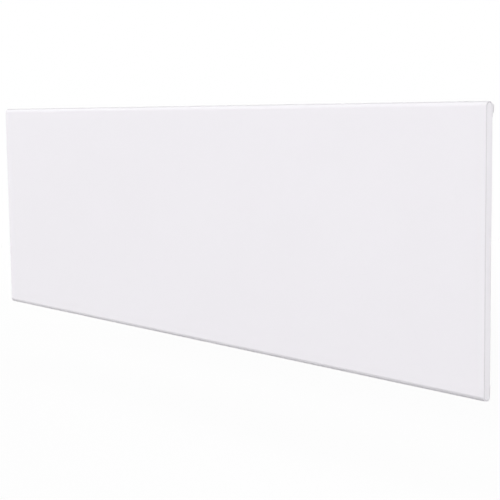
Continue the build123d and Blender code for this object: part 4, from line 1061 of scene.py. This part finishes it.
class HEATER_OT_moulded_parts(bpy.types.Operator):
    """Give the control box, lid, end caps, buttons, switch, window and rubber parts their finish"""

    bl_idname = "heater.moulded_parts"
    bl_label = "Finish the Moulded Parts"

    def execute(self, context):
        finish = context.scene.heater_finish
        self.finish_box(finish)
        self.finish_caps(finish)
        lid = moulded_plastic("lid_plastic", finish.lid_colour, finish.plastic_roughness, finish)
        # Painted shade on the lid's inner side
        lid.recolour(lid.within(lid.normal, LID_INNER_NORMALS), finish.lid_inner_shade_colour)
        dress(lid, "control_lid")
        button_colour = toned(finish.plastic_colour, 1.03)
        dress(moulded_plastic("button_plastic", button_colour, 0.3, finish, 0.3), *BUTTON_SIGNS)
        dress(moulded_plastic("switch_plastic", finish.switch_colour, 0.34, finish, 0.5), "switch_body")
        rocker_colour = toned(finish.switch_colour, 1.04)
        dress(moulded_plastic("rocker_plastic", rocker_colour, 0.2, finish, 0.2), "switch_rocker")
        gland_colour = toned(finish.plastic_colour, 0.95)
        dress(moulded_plastic("gland_plastic", gland_colour, 0.45, finish), "cord_gland")
        dress(tinted_window("smoked_window", (0.045, 0.036, 0.062, 1.0)), "display_window")
        dress(soft_rubber("bumper_rubber", (0.03, 0.03, 0.032, 1.0)), "rear_bumpers", "wall_grommet")
        return {"FINISHED"}

    def finish_box(self, finish):
        """The box's plastic, with painted dark shade in its pry slot."""
        box = moulded_plastic("box_plastic", finish.plastic_colour, finish.plastic_roughness, finish)
        panel_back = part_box("front_panel")[1].y
        low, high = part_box("control_housing")
        slot = {
            "X": (low.x, high.x),
            "Y": (low.y, panel_back + PRY_SLOT_DEPTH),
            "Z": (high.z - PRY_SLOT_FOOT, high.z - PRY_SLOT_HEAD),
        }
        # Painted dark shade in the pry slot
        box.recolour(box.within(box.place, slot), finish.recess_shade_colour)
        dress(box, "control_housing")

    def finish_caps(self, finish):
        """The end caps' plastic, with painted shade in the groove round them and behind their snaps."""
        cap = moulded_plastic("cap_plastic", finish.coat_colour, finish.plastic_roughness, finish)
        low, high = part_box("front_panel")
        # Painted shade in the groove round the end caps
        cap.shade_seam(finish.seam_shade_colour, {"Y": (low.y, high.y)})
        # Painted dark shade on the snap arm behind the panel
        snap_shade = cap.within(cap.place, {"Y": (high.y, high.y + SNAP_SHADE_DEPTH)})
        cap.recolour(snap_shade, finish.recess_shade_colour)
        dress(cap, "end_cap_left", "end_cap_right")


class HEATER_OT_inner_parts(bpy.types.Operator):
    """Give the element, boards, leads and fasteners their finishes"""

    bl_idname = "heater.inner_parts"
    bl_label = "Finish the Inner Parts"

    def execute(self, context):
        finish = context.scene.heater_finish
        self.finish_metal()
        dress(ceramic("element_ceramic", (0.84, 0.82, 0.77, 1.0)), "element_insulators")
        dress(circuit_board("green_laminate", (0.02, 0.14, 0.05, 1.0)), "control_board", "power_board")
        black = moulded_plastic("black_plastic", (0.014, 0.014, 0.016, 1.0), 0.4, finish)
        dress(black, "thermal_cutout", "temperature_sensor", "display_module")
        dress(moulded_plastic("relay_plastic", (0.03, 0.12, 0.36, 1.0), 0.35, finish), "relay")
        terminal = moulded_plastic("terminal_plastic", (0.76, 0.74, 0.68, 1.0), 0.45, finish)
        dress(terminal, "terminal_block")
        milky = moulded_plastic("milky_plastic", (0.74, 0.74, 0.80, 1.0), 0.3, finish)
        dress(milky, "indicator_light_pipes", "indicator_chips")
        dress(moulded_plastic("ribbon_plastic", (0.40, 0.41, 0.45, 1.0), 0.5, finish), "ribbon_cable")
        dress(soft_rubber("lead_silicone", (0.50, 0.49, 0.46, 1.0)), "element_leads", "switch_leads")
        return {"FINISHED"}

    def finish_metal(self):
        """The drawn, plated and galvanised metal parts."""
        dress(bright_metal("blackened_aluminium", (0.09, 0.09, 0.095, 1.0), 0.5), "element_fins")
        dress(bright_metal("heated_steel", (0.16, 0.14, 0.13, 1.0), 0.5), "element_tube")
        zinc = galvanised_sheet("galvanised_steel", (0.22, 0.22, 0.23, 1.0))
        dress(zinc, "element_brackets", "front_heat_shield")
        plated = bright_metal("zinc_plated_steel", (0.66, 0.66, 0.68, 1.0), 0.3, (1.0, 1.0, 1.0))
        dress(plated, "board_screws", "housing_screws", "lock_screw", "lid_hinge_pins", "tact_switches")
        dress(bright_metal("rivet_aluminium", (0.74, 0.74, 0.76, 1.0), 0.35), "panel_rivets")
        dress(bright_metal("tinned_brass", (0.70, 0.58, 0.34, 1.0), 0.3), "switch_terminals")
        core = bright_metal("core_steel", (0.20, 0.19, 0.18, 1.0), 0.5, (1.0, 1.0, 14.0))
        dress(core, "transformer")


class HEATER_OT_button_signs(bpy.types.Operator):
    """Print one sign on each push button and paint a fine ring of shade along its edge"""

    bl_idname = "heater.button_signs"
    bl_label = "Print the Button Signs"

    def execute(self, context):
        signs = context.scene.heater_signs
        thickness = signs.ink_thickness
        ink = printed_ink("black_ink", signs.print_colour)
        rim_ink = printed_ink("rim_ink", signs.rim_shade_colour)
        for button, draw in BUTTON_SIGNS.items():
            place = top_centre(button)
            bm = bmesh.new()
            draw(SignPen(bm, place, signs.button_sign_radius, signs.button_stroke, thickness))
            new_piece(button.replace("button", "sign"), bm, ink, button)
            # A fine ring of painted shade along the button's edge
            bm = bmesh.new()
            matrix = Matrix.Translation(place)
            add_rim(bm, matrix, signs.button_radius, signs.rim_width, signs.button_edge, thickness)
            new_piece(button.replace("button", "rim"), bm, rim_ink, button)
        return {"FINISHED"}


class HEATER_OT_display(bpy.types.Operator):
    """Light the two digits behind the display window"""

    bl_idname = "heater.display"
    bl_label = "Light the Display"

    def execute(self, context):
        signs = context.scene.heater_signs
        length, width = signs.segment_length, signs.segment_width
        middle = top_centre("display_window")
        bm = bmesh.new()
        for number, digit in enumerate(DISPLAY_READING):
            shift = (number - (len(DISPLAY_READING) - 1) / 2) * signs.digit_pitch
            matrix = Matrix.Translation((middle.x + shift, middle.y, middle.z))
            for segment in DIGIT_SEGMENTS[digit]:
                across, up, upright = SEGMENT_PLACES[segment]
                centre = (across * length, up * length)
                add_segment(bm, matrix, centre, upright, length - width, width, signs.ink_thickness)
        new_piece(
            "display_digits", bm, lit_plastic("digit_glow", signs.glow_colour), "heater"
        )
        return {"FINISHED"}


class HEATER_OT_indicators(bpy.types.Operator):
    """Light five of the six indicators and print the small signs behind them"""

    bl_idname = "heater.indicators"
    bl_label = "Light the Indicators"

    def execute(self, context):
        signs = context.scene.heater_signs
        finish = context.scene.heater_finish
        low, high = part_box("indicator_light_pipes")
        flange = (high.y - low.y) / 2
        first = Vector((low.x + flange, (low.y + high.y) / 2, high.z))
        pitch = (high.x - flange - first.x) / (len(LIGHT_SIGNS) - 1)
        thickness, radius = signs.ink_thickness, signs.light_radius
        lit_bm, unlit_bm, halo_bm, sign_bm = [bmesh.new() for kind in range(4)]
        for number, draw in enumerate(LIGHT_SIGNS):
            place = first + Vector((number * pitch, 0.0, 0.0))
            matrix = Matrix.Translation(place)
            if number == UNLIT_LIGHT:
                add_dot(unlit_bm, matrix, radius * UNLIT_SIZE, thickness)
            else:
                add_dot(lit_bm, matrix, radius, 2 * thickness)
                add_ring(halo_bm, matrix, (0, 0), signs.halo_radius, radius, thickness / 4)
            place += Vector((0.0, signs.light_sign_setback, 0.0))
            draw(SignPen(sign_bm, place, signs.light_sign_radius, signs.light_stroke, thickness))
        lit = lit_plastic("lit_indicator", signs.light_colour)
        unlit = printed_ink("unlit_indicator", (0.22, 0.21, 0.24, 1.0))
        ink = printed_ink("grey_ink", signs.pale_print_colour)
        halo = fading_halo(
            "indicator_halo", finish.plastic_colour, signs.halo_colour, finish.plastic_roughness
        )
        new_piece("indicator_lit", lit_bm, lit, "heater")
        new_piece("indicator_unlit", unlit_bm, unlit, "heater")
        halos = new_piece("indicator_halos", halo_bm, halo, "heater")
        self.mark_fade(halos, first, pitch, radius, signs.halo_radius)
        new_piece("indicator_signs", sign_bm, ink, "heater")
        return {"FINISHED"}

    def mark_fade(self, halos, first, pitch, inner, outer):
        """Stores 1 at a halo's inner edge and 0 at its outer edge."""
        fade = halos.data.attributes.new("fade", "FLOAT", "POINT")
        for vertex in halos.data.vertices:
            number = round((vertex.co.x - first.x) / pitch)
            reach = math.hypot(vertex.co.x - first.x - number * pitch, vertex.co.y - first.y)
            fade.data[vertex.index].value = max(0.0, min(1.0, (outer - reach) / (outer - inner)))


class HEATER_OT_rocker_marks(bpy.types.Operator):
    """Print the off and on marks on the rocker's two faces"""

    bl_idname = "heater.rocker_marks"
    bl_label = "Print the Rocker Marks"

    def execute(self, context):
        signs = context.scene.heater_signs
        joint = next(joint for joint in frame["joints"] if joint["name"] == "rocker_tilt")
        tilt = math.radians(joint["range_deg"][1]) / 2
        half_height, stroke = signs.rocker_mark_height / 2, signs.rocker_mark_stroke
        to_ridge = Matrix.Translation((signs.rocker_apex, 0, 0))
        ridge = Matrix.Translation(joint["pos_m"]) @ Matrix.Rotation(-tilt, 4, "Y") @ to_ridge
        bm = bmesh.new()
        for side in (1, -1):
            face = Matrix.Rotation(side * tilt, 4, "Y")
            along = Matrix.Translation((0, 0, side * signs.rocker_mark_reach))
            matrix = ridge @ face @ along @ Matrix.Rotation(math.pi / 2, 4, "Y")
            if side > 0:
                add_ring(bm, matrix, (0, 0), half_height, half_height - stroke, signs.ink_thickness)
            else:
                add_bar(bm, matrix, (-half_height, 0), (half_height, 0), stroke, signs.ink_thickness)
        ink = printed_ink("rocker_ink", signs.rocker_print_colour)
        new_piece("rocker_marks", bm, ink, "rocker")
        return {"FINISHED"}


class HEATER_OT_stage(bpy.types.Operator):
    """Set up the floor, the lamps, the world and the camera"""

    bl_idname = "heater.stage"
    bl_label = "Set the Stage"

    def execute(self, context):
        stage = context.scene.heater_stage
        self.make_floor(context, stage)
        self.make_world(context, stage)
        for name, side in LAMP_SIDES.items():
            self.make_lamp(context, stage, name, side)
        self.make_camera(context, stage)
        context.scene.view_settings.view_transform = "Standard"
        return {"FINISHED"}

    def make_floor(self, context, stage):
        """A wide flat floor below the heater."""
        low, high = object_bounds()
        middle = ((low.x + high.x) / 2, (low.y + high.y) / 2, low.z - stage.floor_drop)
        bm = bmesh.new()
        bmesh.ops.create_grid(
            bm,
            x_segments=FLOOR_CELLS,
            y_segments=FLOOR_CELLS,
            size=stage.floor_size / 2,
            matrix=Matrix.Translation(middle),
        )
        mesh = bpy.data.meshes.new("floor")
        bm.to_mesh(mesh)
        bm.free()
        mesh.materials.append(pale_floor(stage))
        floor = bpy.data.objects.new("floor", mesh)
        context.scene.collection.objects.link(floor)
        floor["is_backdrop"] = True

    def make_world(self, context, stage):
        """A soft room that is darker overhead, and plain white where it is seen."""
        world = bpy.data.worlds.new("soft_white_room")
        context.scene.world = world
        world.use_nodes = True
        tree = world.node_tree
        toward = add_node(tree, "ShaderNodeTexCoord").outputs["Generated"]
        height = add_node(tree, "ShaderNodeSeparateXYZ", {"Vector": toward}).outputs["Z"]
        sky_inputs = {"Value": height, "To Min": stage.horizon_level, "To Max": stage.zenith_level}
        sky = add_node(tree, "ShaderNodeMapRange", sky_inputs).outputs["Result"]
        level_inputs = {"Value": seen_rays(tree), "To Min": sky, "To Max": 1.0}
        level = add_node(tree, "ShaderNodeMapRange", level_inputs).outputs["Result"]
        background = tree.nodes["Background"]
        feed(tree, background.inputs["Color"], WHITE)
        feed(tree, background.inputs["Strength"], level)

    def make_lamp(self, context, stage, name, side):
        """A broad even lamp that shines from one side, so it lights both ends alike."""
        lamp = bpy.data.lights.new(name + "_lamp", "SUN")
        lamp.angle = stage.lamp_spread
        lamp.energy = getattr(stage, name + "_strength")
        holder = bpy.data.objects.new(name + "_lamp", lamp)
        context.scene.collection.objects.link(holder)
        holder.location = side
        holder.rotation_mode = "QUATERNION"
        holder.rotation_quaternion = (-Vector(side)).to_track_quat("-Z", "Y")

    def make_camera(self, context, stage):
        """The camera of the photograph's large view."""
        data = bpy.data.cameras.new("camera")
        data.sensor_width = SENSOR_WIDTH
        data.lens = stage.lens
        camera = bpy.data.objects.new("camera", data)
        context.scene.collection.objects.link(camera)
        azimuth, pitch = stage.camera_azimuth, stage.camera_pitch
        across, ahead = -math.sin(azimuth) * math.cos(pitch), math.cos(azimuth) * math.cos(pitch)
        sight = Vector((across, ahead, -math.sin(pitch)))
        roll = Quaternion((0.0, 0.0, 1.0), stage.camera_roll)
        camera.location = stage.camera_place
        camera.rotation_mode = "QUATERNION"
        camera.rotation_quaternion = sight.to_track_quat("-Z", "Y") @ roll
        context.scene.camera = camera


OPERATORS = (
    HEATER_OT_coated_sheets,
    HEATER_OT_moulded_parts,
    HEATER_OT_inner_parts,
    HEATER_OT_button_signs,
    HEATER_OT_display,
    HEATER_OT_indicators,
    HEATER_OT_rocker_marks,
    HEATER_OT_stage,
)


class HEATER_PT_build(bpy.types.Panel):
    """The heater's steps and settings"""

    bl_idname = "HEATER_PT_build"
    bl_label = "Convector Panel Heater"
    bl_space_type = "VIEW_3D"
    bl_region_type = "UI"
    bl_category = "Heater"

    def draw(self, context):
        layout = self.layout
        for operator in OPERATORS:
            layout.operator(operator.bl_idname)
        for name in SETTINGS:
            group = getattr(context.scene, name)
            box = layout.box()
            for setting in group.bl_rna.properties:
                if setting.identifier not in ("rna_type", "name"):
                    box.prop(group, setting.identifier)


SETTINGS = {
    "heater_finish": HeaterFinishSettings,
    "heater_signs": HeaterSignSettings,
    "heater_stage": HeaterStageSettings,
}
CLASSES = (*SETTINGS.values(), *OPERATORS, HEATER_PT_build)


def register():
    for cls in CLASSES:
        bpy.utils.register_class(cls)
    for name, cls in SETTINGS.items():
        setattr(bpy.types.Scene, name, bpy.props.PointerProperty(type=cls))


def unregister():
    for name in SETTINGS:
        delattr(bpy.types.Scene, name)
    for cls in reversed(CLASSES):
        bpy.utils.unregister_class(cls)


def main():
    register()
    bpy.ops.heater.coated_sheets()
    bpy.ops.heater.moulded_parts()
    bpy.ops.heater.inner_parts()
    bpy.ops.heater.button_signs()
    bpy.ops.heater.display()
    bpy.ops.heater.indicators()
    bpy.ops.heater.rocker_marks()
    bpy.ops.heater.stage()
    bpy.context.view_layer.update()


if __name__ == "__main__":
    main()
